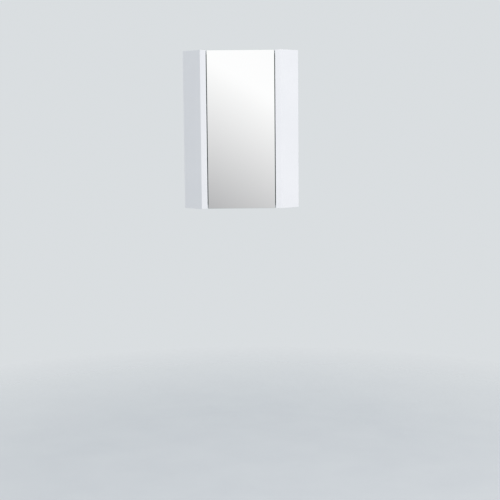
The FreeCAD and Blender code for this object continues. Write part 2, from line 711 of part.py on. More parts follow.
def door_panel():
    """Door board: its back edge is bevelled on the hinge side, so that it swings past the boards."""
    outline = [
        ("0", "0"),
        (DOOR_WIDTH, "0"),
        (DOOR_WIDTH, "door_board"),
        ("door_back_bevel", "door_board"),
        ("0", "(door_board - door_back_bevel)"),
    ]
    body, pad = padded("door_panel", outline, DOOR_HEIGHT, "0")
    place(body, DOOR_LEFT, f"({DOOR_BACK} - door_board)", "door_reveal")
    holes = []
    for which, height in HINGE_HEIGHTS.items():
        holes.append(rod(f"door_cup_hole_{which}", "(cup_radius + fit_clear)", f"({CUP_DEPTH} + fit_clear)",
                         CUP_X, DOOR_BACK, height, "-y"))
    for place_of in cup_screw_places():
        holes.append(screw_hole(f"door_cup_screw_{len(holes)}", *CUP_SCREW, *place_of, "-y"))
    strike_face = f"({DOOR_BACK} + strike_thick)"
    holes.append(screw_hole("door_strike_screw", *STRIKE_SCREW, LATCH_X, strike_face, LATCH_Z, "-y"))
    finish(cut("door_panel", body, holes), "door_panel")


def mirror_glass():
    """Silvered glass over the whole door, with a fine ground arris round its front."""
    outline = [("0", "0"), (DOOR_WIDTH, "0"), (DOOR_WIDTH, "mirror_thick"), ("0", "mirror_thick")]
    body, pad = padded("mirror_glass", outline, DOOR_HEIGHT, "0")

    def on_front(edge):
        return all(abs(vertex.Point.y) < NEAR for vertex in edge.Vertexes)

    arris = body.newObject("PartDesign::Chamfer", "mirror_glass_arris")
    arris.Base = (pad, edges_where(pad.Shape, on_front))
    bind(arris, Size="mirror_arris")
    place(body, DOOR_LEFT, FRONT, "door_reveal")
    finish(body, "mirror_glass")


def mirror_tape():
    """Foam tape strips that hold the mirror on the door board."""
    middle = f"(({DOOR_LEFT} + {DOOR_RIGHT} - tape_width) / 2)"
    starts = (f"({DOOR_LEFT} + tape_inset)", middle, f"({DOOR_RIGHT} - tape_inset - tape_width)")
    strips = []
    for start in starts:
        strips.append(block(f"tape_{len(strips)}", "tape_width", "tape_thick",
                            f"({DOOR_HEIGHT} - 2 * tape_inset)", start, f"({FRONT} + mirror_thick)",
                            "(door_reveal + tape_inset)"))
    finish(group("mirror_tape", strips), "mirror_tape")


def door_bumpers():
    pads = []
    for level in BOARD_LEVELS.values():
        pads.append(rod(f"bumper_{len(pads)}", "bumper_radius", "(door_clear - touch_clear)",
                        f"({DOOR_RIGHT} - bumper_inset)", DOOR_BACK, level, "y"))
    finish(group("door_bumpers", pads), "door_bumpers")


def strike():
    face = f"({DOOR_BACK} + strike_thick)"
    disc = rod("strike_disc", "strike_radius", "strike_thick", LATCH_X, DOOR_BACK, LATCH_Z, "y")
    hole = screw_hole("strike_hole", *STRIKE_SCREW, LATCH_X, face, LATCH_Z, "-y")
    finish(cut("strike_plate", disc, [hole]), "strike_plate")
    finish(screw("strike_screw", *STRIKE_SCREW, LATCH_X, face, LATCH_Z, "-y"), "strike_screw")


def latch_body():
    """Housing of the push latch, screwed under the top board by its two ears."""
    housing = block("latch_housing", "latch_width", "latch_length", "latch_height",
                    f"({LATCH_X} - latch_width / 2)", LATCH_Y, f"({LATCH_TOP} - latch_height)")
    ears = block("latch_ears", "(latch_width + 2 * ear_width)", "ear_length", "ear_thick",
                 f"({LATCH_X} - latch_width / 2 - ear_width)", f"({LATCH_Y} + ear_setback)",
                 f"({LATCH_TOP} - ear_thick)")
    holes = [rod("latch_bore", "(plunger_radius + plunger_run)", "(latch_length - latch_back_wall)",
                 LATCH_X, LATCH_Y, LATCH_Z, "y")]
    for place_of in latch_screw_places():
        holes.append(screw_hole(f"latch_ear_hole_{len(holes)}", *LATCH_SCREW, *place_of, "z"))
    finish(cut("latch_body", join("latch_solid", [housing, ears]), holes), "latch_body")
    screws = []
    for place_of in latch_screw_places():
        screws.append(screw(f"latch_screw_{len(screws)}", *LATCH_SCREW, *place_of, "z"))
    finish(group("latch_screws", screws), "latch_screws")


def latch_plunger():
    """Sprung plunger with a magnet in its nose, resting against the strike plate."""
    solid = rod("plunger_solid", "plunger_radius", PLUNGER_LENGTH, LATCH_X, PLUNGER_TIP, LATCH_Z, "y")
    seat = rod("plunger_magnet_seat", "(magnet_radius + fit_clear)", "(magnet_thick + fit_clear)",
               LATCH_X, PLUNGER_TIP, LATCH_Z, "y")
    bore = rod("plunger_bore", "spring_bore", "plunger_bore_depth", LATCH_X,
               f"({LATCH_Y} + plunger_inside - plunger_bore_depth)", LATCH_Z, "y")
    finish(cut("latch_plunger", solid, [seat, bore]), "latch_plunger")
    magnet = rod("latch_magnet", "magnet_radius", "magnet_thick", LATCH_X, PLUNGER_TIP, LATCH_Z, "y")
    finish(magnet, "latch_magnet")


def latch_spring():
    """Coil between the bottom of the plunger's bore and the back wall of the latch."""
    start = f"({LATCH_Y} + plunger_inside - plunger_bore_depth + spring_wire + fit_clear)"
    behind = "(latch_length - latch_back_wall - plunger_inside)"
    room = f"({behind} + plunger_bore_depth - 2 * spring_wire - 2 * fit_clear)"
    turns = doc.addObject("Part::Helix", "latch_spring_turns")
    bind(turns, Radius="spring_radius", Pitch="spring_pitch", Height=room)
    wire = doc.addObject("Part::Circle", "latch_spring_wire")
    bind(wire, Radius="spring_wire")
    place(wire, "spring_radius", "0", "0", TURN["y"])
    coil = doc.addObject("Part::Sweep", "latch_spring")
    coil.Sections = [wire]
    coil.Spine = (turns, ["Edge1"])
    coil.Solid = True
    coil.Frenet = True
    place(coil, LATCH_X, start, LATCH_Z, TURN["y"])
    finish(coil, "latch_spring")


for half, on_right in (("left", False), ("right", True)):
    side_panel(half, on_right)
    back_panel(half, on_right)
for board_name in BOARD_LEVELS:
    fixed_board(board_name)
for shelf_name in SHELF_HEIGHTS:
    shelf_board(shelf_name)
shelf_pins()
cam_joints()
back_screws()
for hinge_name, hinge_height in HINGE_HEIGHTS.items():
    hinge_arm(hinge_name, hinge_height)
    hinge_plate(hinge_name, hinge_height)
    hinge_cup(hinge_name, hinge_height)
hinge_screws()
hinge_pins()
cup_screws()
door_panel()
mirror_glass()
mirror_tape()
door_bumpers()
strike()
latch_body()
latch_plunger()
latch_spring()
doc.recompute()

for thing in doc.Objects:
    if "Invalid" in thing.State or "Error" in thing.State:
        raise RuntimeError("did not build: " + thing.Name)
os.makedirs("parts", exist_ok=True)
for node in nodes:
    shape = node.Shape
    if shape.isNull() or not shape.isValid() or not shape.Solids:
        raise RuntimeError("no sound solid: " + node.Label)
    shape.exportStep("parts/" + node.Label + ".step")
    print(node.Label, len(shape.Solids), round(shape.Volume, 1))
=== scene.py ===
import json
import math
import random

import bpy
from mathutils import Matrix, Vector

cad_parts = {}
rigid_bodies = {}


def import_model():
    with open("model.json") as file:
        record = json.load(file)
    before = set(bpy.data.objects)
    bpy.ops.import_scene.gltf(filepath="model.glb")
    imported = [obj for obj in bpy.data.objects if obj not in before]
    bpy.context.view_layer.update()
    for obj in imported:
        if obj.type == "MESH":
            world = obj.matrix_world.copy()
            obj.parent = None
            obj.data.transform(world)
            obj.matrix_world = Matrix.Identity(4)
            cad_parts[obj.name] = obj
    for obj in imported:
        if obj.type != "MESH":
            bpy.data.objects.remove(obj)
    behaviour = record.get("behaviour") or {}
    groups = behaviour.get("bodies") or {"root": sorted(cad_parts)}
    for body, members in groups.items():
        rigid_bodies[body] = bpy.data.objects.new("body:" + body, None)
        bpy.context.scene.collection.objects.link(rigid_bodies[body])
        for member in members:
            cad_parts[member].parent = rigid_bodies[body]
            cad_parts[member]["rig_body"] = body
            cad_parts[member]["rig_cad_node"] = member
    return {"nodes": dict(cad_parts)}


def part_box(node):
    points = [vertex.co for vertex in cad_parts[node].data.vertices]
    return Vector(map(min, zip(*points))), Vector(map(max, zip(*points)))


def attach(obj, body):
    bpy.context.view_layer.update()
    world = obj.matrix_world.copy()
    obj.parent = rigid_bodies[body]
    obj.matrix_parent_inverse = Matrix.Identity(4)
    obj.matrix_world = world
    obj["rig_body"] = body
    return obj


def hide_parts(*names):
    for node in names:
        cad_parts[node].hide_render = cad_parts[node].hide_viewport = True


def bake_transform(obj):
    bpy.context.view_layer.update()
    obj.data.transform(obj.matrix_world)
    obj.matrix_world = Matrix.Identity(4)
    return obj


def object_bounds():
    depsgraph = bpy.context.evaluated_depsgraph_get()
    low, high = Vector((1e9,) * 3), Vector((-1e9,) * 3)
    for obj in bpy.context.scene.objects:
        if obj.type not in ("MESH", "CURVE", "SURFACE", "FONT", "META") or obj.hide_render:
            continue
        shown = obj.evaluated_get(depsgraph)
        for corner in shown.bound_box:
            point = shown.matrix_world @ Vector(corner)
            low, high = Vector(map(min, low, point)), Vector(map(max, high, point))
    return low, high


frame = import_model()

CAD_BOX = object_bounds()

# Side panels: 16 mm fibreboard, one square to each back panel, sprayed all over with white satin lacquer.
# Their front edges are mitred at 45 degrees and show as the pale strips beside the door.
# Arrises are rubbed down, so that joints show as fine lines, but the thin tips of the mitres stay crisp.
MM = 0.001
BOARD_ARRIS = 0.35 * MM
ARRIS_STEPS = 2
SAME_POINT = 0.001 * MM
SHARP_ANGLE = math.radians(35)
FLAT_ANGLE = math.radians(0.5)
LACQUER_WHITE = (0.855, 0.858, 0.872, 1)
LACQUER_SHADE = (0.825, 0.83, 0.848, 1)
LACQUER_CLOUDS = (5, 3)
LACQUER_RUB = (60, 4)
LACQUER_ROUGHNESS = (0.42, 0.54)
LACQUER_PEEL = (700, 2)
LACQUER_PEEL_DEPTH = 0.01 * MM
PATTERN_LOW = 0.3
PATTERN_HIGH = 0.7
cad = frame["nodes"]


def new_finish(name):
    """An empty finish: its node tree, its shader, and the place on the piece that its pattern follows."""
    finish = bpy.data.materials.new(name)
    finish.use_nodes = True
    tree = finish.node_tree
    place = tree.nodes.new("ShaderNodeTexCoord")
    return finish, tree, tree.nodes["Principled BSDF"], place


def mottle(tree, place, fineness, detail, drawn=(1, 1, 1), turn=0):
    """Cloudy pattern of a given fineness and detail, drawn out along its axes and turned in plan."""
    mapping = tree.nodes.new("ShaderNodeMapping")
    mapping.vector_type = "TEXTURE"
    mapping.inputs["Rotation"].default_value = (0, 0, turn)
    mapping.inputs["Scale"].default_value = drawn
    tree.links.new(place.outputs["Object"], mapping.inputs["Vector"])
    noise = tree.nodes.new("ShaderNodeTexNoise")
    noise.inputs["Scale"].default_value = fineness
    noise.inputs["Detail"].default_value = detail
    tree.links.new(mapping.outputs["Vector"], noise.inputs["Vector"])
    return noise.outputs["Fac"]


def tint(tree, pattern, low, high):
    """A cloudy pattern turned into colours between low and high."""
    ramp = tree.nodes.new("ShaderNodeValToRGB")
    ramp.color_ramp.elements[0].position = PATTERN_LOW
    ramp.color_ramp.elements[0].color = low
    ramp.color_ramp.elements[1].position = PATTERN_HIGH
    ramp.color_ramp.elements[1].color = high
    tree.links.new(pattern, ramp.inputs["Fac"])
    return ramp.outputs["Color"]


def spread(tree, pattern, low, high, start=PATTERN_LOW, stop=PATTERN_HIGH):
    """A pattern that runs from start to stop, turned into numbers between low and high."""
    span = tree.nodes.new("ShaderNodeMapRange")
    span.inputs["From Min"].default_value = start
    span.inputs["From Max"].default_value = stop
    span.inputs["To Min"].default_value = low
    span.inputs["To Max"].default_value = high
    tree.links.new(pattern, span.inputs["Value"])
    return span.outputs["Result"]


def relief(tree, shader, pattern, depth):
    """A pattern as fine relief of the surface."""
    bump = tree.nodes.new("ShaderNodeBump")
    bump.inputs["Distance"].default_value = depth
    tree.links.new(pattern, bump.inputs["Height"])
    tree.links.new(bump.outputs["Normal"], shader.inputs["Normal"])


def white_lacquer():
    """Sprayed lacquer: hardly mottled, rubbed unevenly, with a trace of orange peel."""
    finish, tree, shader, place = new_finish("white_satin_lacquer")
    clouds = mottle(tree, place, *LACQUER_CLOUDS)
    tree.links.new(tint(tree, clouds, LACQUER_SHADE, LACQUER_WHITE), shader.inputs["Base Color"])
    rubbed = mottle(tree, place, *LACQUER_RUB)
    tree.links.new(spread(tree, rubbed, *LACQUER_ROUGHNESS), shader.inputs["Roughness"])
    relief(tree, shader, mottle(tree, place, *LACQUER_PEEL), LACQUER_PEEL_DEPTH)
    return finish


def pick(piece):
    """Make one piece the only one selected, and the active one."""
    bpy.ops.object.select_all(action="DESELECT")
    bpy.context.view_layer.objects.active = piece
    piece.select_set(True)


def smooth(piece):
    """Round faces shade smoothly, and sharp arrises stay sharp."""
    pick(piece)
    bpy.ops.object.shade_smooth_by_angle(angle=SHARP_ANGLE)


def spare_slim_flats(piece, arris):
    """In edit mode, take the edges of flats too slim for their rounded arrises out of the selection."""
    bpy.ops.object.mode_set(mode="OBJECT")
    mesh = piece.data
    for flat in mesh.polygons:
        rims = [mesh.edges[mesh.loops[spot].edge_index] for spot in flat.loop_indices]
        rims = [rim for rim in rims if rim.select]
        ends = [[mesh.vertices[end].co for end in rim.vertices] for rim in rims]
        if arris * sum((there - here).length for here, there in ends) > flat.area:
            for rim in rims:
                rim.select = False
    mesh.vertices.foreach_set("select", [False] * len(mesh.vertices))
    mesh.polygons.foreach_set("select", [False] * len(mesh.polygons))
    bpy.ops.object.mode_set(mode="EDIT")


def eased(node, arris, slim_flats_stay=False):
    """A copy of a CAD piece with its sharp arrises rounded off. Slim flats can keep theirs."""
    piece = cad[node].copy()
    piece.data = cad[node].data.copy()
    piece.parent = None
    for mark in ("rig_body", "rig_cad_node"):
        del piece[mark]
    piece.name = piece.data.name = "eased_" + node
    bpy.context.scene.collection.objects.link(piece)
    pick(piece)
    bpy.ops.object.mode_set(mode="EDIT")
    bpy.ops.mesh.select_mode(type="EDGE")
    bpy.ops.mesh.select_all(action="SELECT")
    bpy.ops.mesh.remove_doubles(threshold=SAME_POINT)
    bpy.ops.mesh.dissolve_limited(angle_limit=FLAT_ANGLE)
    bpy.ops.mesh.select_all(action="DESELECT")
    bpy.ops.mesh.edges_select_sharp(sharpness=SHARP_ANGLE)
    if slim_flats_stay:
        spare_slim_flats(piece, arris)
    bpy.ops.mesh.bevel(
        offset=arris, segments=ARRIS_STEPS, affect="EDGES", clamp_overlap=False, loop_slide=False)
    bpy.ops.object.mode_set(mode="OBJECT")
    smooth(piece)
    flats = piece.modifiers.new("flats_stay_flat", "WEIGHTED_NORMAL")
    flats.keep_sharp = True
    bpy.ops.object.modifier_apply(modifier=flats.name)
    return piece


def fit(piece, node, body, finish):
    """Give a piece its finish and fix it to its body, in place of a CAD piece."""
    piece.data.materials.clear()
    piece.data.materials.append(finish)
    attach(piece, body)
    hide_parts(node)


lacquer = white_lacquer()
for node in ("left_side_panel", "right_side_panel"):
    fit(eased(node, BOARD_ARRIS, slim_flats_stay=True), node, "carcass", lacquer)

# Bottom and top boards: five-sided 16 mm boards of the same lacquered fibreboard, between the side panels.
# Their front edges are notched back behind the door, so that it closes flush with the side panels.
for node in ("bottom_board", "top_board"):
    fit(eased(node, BOARD_ARRIS), node, "carcass", lacquer)

# Back panels: 12 mm fibreboard, let into rebates of the side panels, that meet in the corner behind.
# The inner faces are lacquered like the rest. The outer faces have one thin sealing coat, so fibres show.
# Their arrises are hardly eased, because screw heads lie close to the edges.
BACK_ARRIS = 0.14 * MM
SEALED_PALE = (0.75, 0.71, 0.645, 1)
SEALED_FIBRE = (0.63, 0.585, 0.51, 1)
SEALED_FIBRES = (420, 6)
SEALED_FIBRES_DRAWN = (1, 1, 2.86)
SEALED_ROUGHNESS = (0.48, 0.75)
SEALED_PEEL = (700, 3)
SEALED_PEEL_DEPTH = 0.02 * MM
FACING_FROM = 0.85
FACING_FULLY = 0.95
LEFT_BACK_OUT = Vector((-math.sqrt(0.5), math.sqrt(0.5), 0))
RIGHT_BACK_OUT = Vector((math.sqrt(0.5), math.sqrt(0.5), 0))


def facing(tree, place, way):
    """One where the piece's own surface faces a way, and nought elsewhere."""
    along = tree.nodes.new("ShaderNodeVectorMath")
    along.operation = "DOT_PRODUCT"
    along.inputs[1].default_value = way
    tree.links.new(place.outputs["Normal"], along.inputs[0])
    return spread(tree, along.outputs["Value"], 0, 1, FACING_FROM, FACING_FULLY)


def larger(tree, one, other):
    """The larger of two numbers."""
    most = tree.nodes.new("ShaderNodeMath")
    most.operation = "MAXIMUM"
    tree.links.new(one, most.inputs[0])
    tree.links.new(other, most.inputs[1])
    return most.outputs["Value"]


def overlay(tree, share, under, over):
    """One colour over another, where share is one."""
    mix = tree.nodes.new("ShaderNodeMix")
    mix.data_type = "RGBA"
    tree.links.new(share, mix.inputs["Factor"])
    tree.links.new(under, mix.inputs["A"])
    tree.links.new(over, mix.inputs["B"])
    return mix.outputs["Result"]


def sealed_back():
    """Lacquer inside, and bare sealed fibres on the outer faces."""
    finish, tree, shader, place = new_finish("sealed_fibreboard_back")
    bare = larger(tree, facing(tree, place, LEFT_BACK_OUT), facing(tree, place, RIGHT_BACK_OUT))
    inside = tint(tree, mottle(tree, place, *LACQUER_CLOUDS), LACQUER_SHADE, LACQUER_WHITE)
    fibres = mottle(tree, place, *SEALED_FIBRES, drawn=SEALED_FIBRES_DRAWN)
    outside = tint(tree, fibres, SEALED_FIBRE, SEALED_PALE)
    tree.links.new(overlay(tree, bare, inside, outside), shader.inputs["Base Color"])
    tree.links.new(spread(tree, bare, *SEALED_ROUGHNESS, 0, 1), shader.inputs["Roughness"])
    relief(tree, shader, mottle(tree, place, *SEALED_PEEL), SEALED_PEEL_DEPTH)
    return finish


sealed = sealed_back()
for node in ("left_back_panel", "right_back_panel"):
    fit(eased(node, BACK_ARRIS), node, "carcass", sealed)

# Dowels: turned beech with chamfered ends, fluted so that the glue can spread.
# They are glued into the ends of the bottom and top boards and keep these in line with the side panels.
# They are hidden once the cabinet is together.
DOWEL_RADIUS = 4 * MM
DOWEL_REACH = 22 * MM
DOWEL_SINK = 12 * MM
DOWEL_LENGTH = DOWEL_REACH + DOWEL_SINK
DOWEL_FROM_BACK = 46 * MM
DOWEL_CHAMFER = 0.8 * MM
DOWEL_SIDES = 32
FLUTE_MARGIN = 0.12 * MM
FLUTE_DEPTH = 0.25 * MM
FLUTE_LEAN = 0.1
BACK_INSIDE = -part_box("bottom_board")[1].y / math.sqrt(2)
SIDE_INSIDE = BACK_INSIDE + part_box("bottom_board")[1].x * math.sqrt(2)
DOWEL_START = SIDE_INSIDE - DOWEL_REACH
DOWEL_OFF_BACK = BACK_INSIDE + DOWEL_FROM_BACK
BEECH_LIGHT = (0.62, 0.43, 0.25, 1)
BEECH_DARK = (0.46, 0.29, 0.15, 1)
BEECH_GRAIN = (240, 5)
BEECH_GRAIN_DRAWN = (8, 1, 1)
BEECH_GRAIN_DEPTH = 0.06 * MM
BEECH_ROUGHNESS = (0.5, 0.68)
EIGHTH_TURN = math.pi / 4


def turned(name, outline, steps):
    """A turned piece: half its outline, as radius and height from nose to tail, spun round the Z axis."""
    bpy.ops.object.select_all(action="DESELECT")
    bpy.ops.mesh.primitive_plane_add(size=MM)
    piece = bpy.context.object
    piece.name = name
    bpy.ops.object.mode_set(mode="EDIT")
    bpy.ops.mesh.select_mode(type="VERT")
    bpy.ops.mesh.select_all(action="SELECT")
    bpy.ops.mesh.merge(type="CENTER")
    here = Vector((outline[0][0], 0, outline[0][1]))
    bpy.ops.transform.translate(value=here)
    for radius, height in outline[1:]:
        there = Vector((radius, 0, height))
        bpy.ops.mesh.extrude_vertices_move(TRANSFORM_OT_translate={"value": there - here})
        here = there
    bpy.ops.mesh.select_all(action="SELECT")
    bpy.ops.mesh.spin(steps=steps, angle=math.tau, center=(0, 0, 0), axis=(0, 0, 1))
    bpy.ops.mesh.select_all(action="SELECT")
    bpy.ops.mesh.remove_doubles(threshold=SAME_POINT)
    bpy.ops.mesh.normals_make_consistent(inside=False)
    bpy.ops.object.mode_set(mode="OBJECT")
    return piece


def select_faces(piece, wanted):
    """Go into edit mode with only the wanted faces of the active piece selected."""
    bpy.ops.object.mode_set(mode="EDIT")
    bpy.ops.mesh.select_mode(type="FACE")
    bpy.ops.mesh.select_all(action="DESELECT")
    bpy.ops.object.mode_set(mode="OBJECT")
    for face in piece.data.polygons:
        face.select = wanted(face)
    bpy.ops.object.mode_set(mode="EDIT")


def aimed(point, way):
    """The turn and shift that take an upright pattern to a point, with its top facing a way."""
    return Matrix.Translation(point) @ way.to_track_quat("Z", "Y").to_matrix().to_4x4()


def set_out(pattern, name, spots):
    """Copies of a pattern at several spots, as one piece.

    A spot is a point and the way that the copy's top faces. A third value is the way that its X side
    faces. Without that, the copy is turned about its own axis as it comes to hand.
    """
    hand = random.Random(name)
    copies = []
    for point, way, *side in spots:
        place = aimed(point, way)
        turn = hand.uniform(0, math.tau)
        if side:
            across = place.to_3x3().inverted() @ side[0]
            turn = math.atan2(across.y, across.x)
        copy = pattern.copy()
        copy.data = pattern.data.copy()
        copy.data.transform(place @ Matrix.Rotation(turn, 4, "Z"))
        bpy.context.scene.collection.objects.link(copy)
        copies.append(copy)
    bpy.data.objects.remove(pattern)
    pick(copies[0])
    for copy in copies[1:]:
        copy.select_set(True)
    if len(copies) > 1:
        bpy.ops.object.join()
    piece = copies[0]
    piece.name = piece.data.name = name
    smooth(piece)
    return piece


def middle(node):
    """The middle of a CAD piece."""
    lowest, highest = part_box(node)
    return (lowest + highest) / 2


def from_corner(along_left, along_right, height):
    """The point so far along the left back, and so far along the right back, from the corner behind."""
    across = (along_right - along_left) / math.sqrt(2)
    return Vector((across, -(along_left + along_right) / math.sqrt(2), height))


def flute_face(face):
    """Every second face round the dowel."""
    way_round = math.atan2(face.normal.y, face.normal.x) / math.tau * DOWEL_SIDES
    return abs(face.normal.z) < FLUTE_LEAN and math.floor(way_round) % 2 == 0


def turned_beech():
    """Fine grain along the dowels, which point one way on the left and another on the right."""
    finish, tree, shader, place = new_finish("turned_beech")
    grain = []
    for turn in (EIGHTH_TURN, -EIGHTH_TURN):
        grain.append(mottle(tree, place, *BEECH_GRAIN, drawn=BEECH_GRAIN_DRAWN, turn=turn))
    axes = tree.nodes.new("ShaderNodeSeparateXYZ")
    tree.links.new(place.outputs["Object"], axes.inputs["Vector"])
    on_right = spread(tree, axes.outputs["X"], 0, 1, -MM, MM)
    left, right = (tint(tree, lines, BEECH_DARK, BEECH_LIGHT) for lines in grain)
    tree.links.new(overlay(tree, on_right, left, right), shader.inputs["Base Color"])
    tree.links.new(spread(tree, grain[0], *BEECH_ROUGHNESS), shader.inputs["Roughness"])
    relief(tree, shader, grain[0], BEECH_GRAIN_DEPTH)
    return finish


BOARD_MIDDLES = (middle("bottom_board").z, middle("top_board").z)
LEFT_SIDE_IN = from_corner(-1, 0, 0)
RIGHT_SIDE_IN = from_corner(0, -1, 0)
dowel = turned("dowel", [
    (0, 0),
    (DOWEL_RADIUS - DOWEL_CHAMFER, 0),
    (DOWEL_RADIUS, -DOWEL_CHAMFER),
    (DOWEL_RADIUS, DOWEL_CHAMFER - DOWEL_LENGTH),
    (DOWEL_RADIUS - DOWEL_CHAMFER, -DOWEL_LENGTH),
    (0, -DOWEL_LENGTH),
], DOWEL_SIDES)
pick(dowel)
select_faces(dowel, flute_face)
bpy.ops.mesh.inset(thickness=FLUTE_MARGIN, depth=-FLUTE_DEPTH, use_individual=True)
bpy.ops.object.mode_set(mode="OBJECT")
dowel_spots = []
for height in BOARD_MIDDLES:
    dowel_spots.append((from_corner(DOWEL_START, DOWEL_OFF_BACK, height), LEFT_SIDE_IN))
    dowel_spots.append((from_corner(DOWEL_OFF_BACK, DOWEL_START, height), RIGHT_SIDE_IN))
fit(set_out(dowel, "dowel_set", dowel_spots), "dowels", "carcass", turned_beech())

# Cam bolts: turned and plated steel bolts, screwed into the side panels from inside.
# Their heads stand in the cam locks, behind a thin neck, and the locks draw them tight.
CAM_FROM_SIDE = 24 * MM
CAM_FROM_BACK = 14 * MM
BOLT_PAST_CAM = 2 * MM
BOLT_SINK = 11 * MM
BOLT_RADIUS = 3 * MM
BOLT_NECK = 2 * MM
BOLT_HEAD = 3.4 * MM
BOLT_SHOULDER = 22 * MM
BOLT_THREAD_TOP = CAM_FROM_SIDE + BOLT_PAST_CAM
BOLT_LENGTH = BOLT_THREAD_TOP + BOLT_SINK
BOLT_PITCH = 1.6 * MM
BOLT_CHAMFER = 0.8 * MM
BOLT_TIP = 1.5 * MM
BOLT_SIDES = 28
BOLT_START = SIDE_INSIDE - BOLT_THREAD_TOP
BOLT_OFF_BACK = BACK_INSIDE + CAM_FROM_BACK
THREAD_ROOT = 0.74
THREAD_VALLEY = 0.5
THREAD_CREST = 0.75
STEEL_LIGHT = (0.70, 0.70, 0.69, 1)
STEEL_DARK = (0.56, 0.56, 0.56, 1)
STEEL_ROUGHNESS = (0.16, 0.3)
STEEL_MARKS_DEPTH = 0.002 * MM
METAL_CLOUDS = (90, 4)
METAL_MARKS = (1400, 3)
METAL_MARKS_DRAWN = (1, 12.5, 1)


def thread(radius, top, end, pitch):
    """Half outline of a threaded length, from its top down to its end: a ring for each turn."""
    root = THREAD_ROOT * radius
    outline = []
    height = top
    while height - pitch >= end:
        outline.append((root, height))
        outline.append((root, height - THREAD_VALLEY * pitch))
        outline.append((radius, height - THREAD_CREST * pitch))
        height -= pitch
    return outline + [(root, height)]


def plated(name, dark, light, roughness, marks_depth):
    """Plated metal: its tone and gloss vary a little, with fine marks from handling."""
    finish, tree, shader, place = new_finish(name)
    shader.inputs["Metallic"].default_value = 1
    clouds = mottle(tree, place, *METAL_CLOUDS)
    tree.links.new(tint(tree, clouds, dark, light), shader.inputs["Base Color"])
    marks = mottle(tree, place, *METAL_MARKS, drawn=METAL_MARKS_DRAWN)
    tree.links.new(spread(tree, marks, *roughness), shader.inputs["Roughness"])
    relief(tree, shader, marks, marks_depth)
    return finish


bolt = turned("cam_bolt", [
    (0, 0),
    (BOLT_RADIUS - BOLT_CHAMFER, 0),
    (BOLT_RADIUS, -BOLT_CHAMFER),
    (BOLT_RADIUS, BOLT_CHAMFER - BOLT_HEAD),
    (BOLT_NECK, -BOLT_HEAD),
    (BOLT_NECK, -BOLT_SHOULDER),
    (BOLT_RADIUS, -BOLT_SHOULDER),
    (BOLT_RADIUS, -BOLT_THREAD_TOP),
    *thread(BOLT_RADIUS, -BOLT_THREAD_TOP - BOLT_CHAMFER, BOLT_CHAMFER - BOLT_LENGTH, BOLT_PITCH),
    (BOLT_TIP, -BOLT_LENGTH),
    (0, -BOLT_LENGTH),
], BOLT_SIDES)
bolt_spots = []
for height in BOARD_MIDDLES:
    bolt_spots.append((from_corner(BOLT_START, BOLT_OFF_BACK, height), LEFT_SIDE_IN))
    bolt_spots.append((from_corner(BOLT_OFF_BACK, BOLT_START, height), RIGHT_SIDE_IN))
bright_steel = plated("bright_plated_steel", STEEL_DARK, STEEL_LIGHT, STEEL_ROUGHNESS, STEEL_MARKS_DEPTH)
fit(set_out(bolt, "cam_bolt_set", bolt_spots), "cam_bolts", "carcass", bright_steel)

# Cam locks: cast zinc drums let into the boards, one at each end, level with the top and the underside.
# Each has a chamfered rim, a ring groove and a cross recess for the driver that turns it.
# A bore in its side takes the head of the cam bolt.
CAM_RADIUS = 7.4 * MM
CAM_HEIGHT = 12 * MM
CAM_GROOVE = 0.4 * MM
CAM_FACE = 0.95 * CAM_RADIUS
CAM_SIDES = 40
RING_TOP = (0.72 * CAM_RADIUS, 0.88 * CAM_RADIUS)
RING_FLOOR = (0.76 * CAM_RADIUS, 0.84 * CAM_RADIUS)
CAM_RECESS = (3.8 * MM, 1.6 * MM, 2 * MM)
CAM_ALONG = SIDE_INSIDE - CAM_FROM_SIDE
HALF_BOARD = 8 * MM
FIT_CLEAR = 0.1 * MM
CAM_BORE_RADIUS = BOLT_RADIUS + FIT_CLEAR
CAM_BORE_BOTTOM = Vector((-BOLT_PAST_CAM - FIT_CLEAR, 0, -HALF_BOARD))
CAM_BORE_WAY = Vector((1, 0, 0))
BORE_SIDES = 32
CROSS_TAPER = (0.45, 0.7, 1)
FACING_DOWN = -0.9
QUARTER_TURN = math.pi / 2
CABINET_HEIGHT = CAD_BOX[1].z
ZINC_LIGHT = (0.52, 0.52, 0.53, 1)
ZINC_DARK = (0.36, 0.36, 0.37, 1)
ZINC_ROUGHNESS = (0.38, 0.58)
ZINC_GRAIN_DEPTH = 0.02 * MM
UP = Vector((0, 0, 1))
DOWN = Vector((0, 0, -1))


def cut_away(piece, cutter):
    """Take the shape of a cutter out of a piece."""
    pick(piece)
    cut = piece.modifiers.new("cut", "BOOLEAN")
    cut.operation = "DIFFERENCE"
    cut.solver = "EXACT"
    cut.object = cutter
    bpy.ops.object.modifier_apply(modifier=cut.name)
    bpy.data.objects.remove(cutter)


def cut_cross(piece, reach, width, depth):
    """Cut a tapered cross for a driver into the top of a turned piece."""
    top = max(corner.co.z for corner in piece.data.vertices)
    for quarter in (0, QUARTER_TURN):
        bpy.ops.object.select_all(action="DESELECT")
        bpy.ops.mesh.primitive_cube_add(size=2 * reach, location=(0, 0, 0))
        blade = bpy.context.object
        bpy.ops.object.mode_set(mode="EDIT")
        bpy.ops.mesh.select_all(action="SELECT")
        bpy.ops.transform.resize(value=(1, width / (2 * reach), depth / reach))
        select_faces(blade, lambda face: face.normal.z < FACING_DOWN)
        bpy.ops.transform.resize(value=CROSS_TAPER)
        bpy.ops.object.mode_set(mode="OBJECT")
        blade.data.transform(Matrix.Translation((0, 0, top)) @ Matrix.Rotation(quarter, 4, "Z"))
        cut_away(piece, blade)


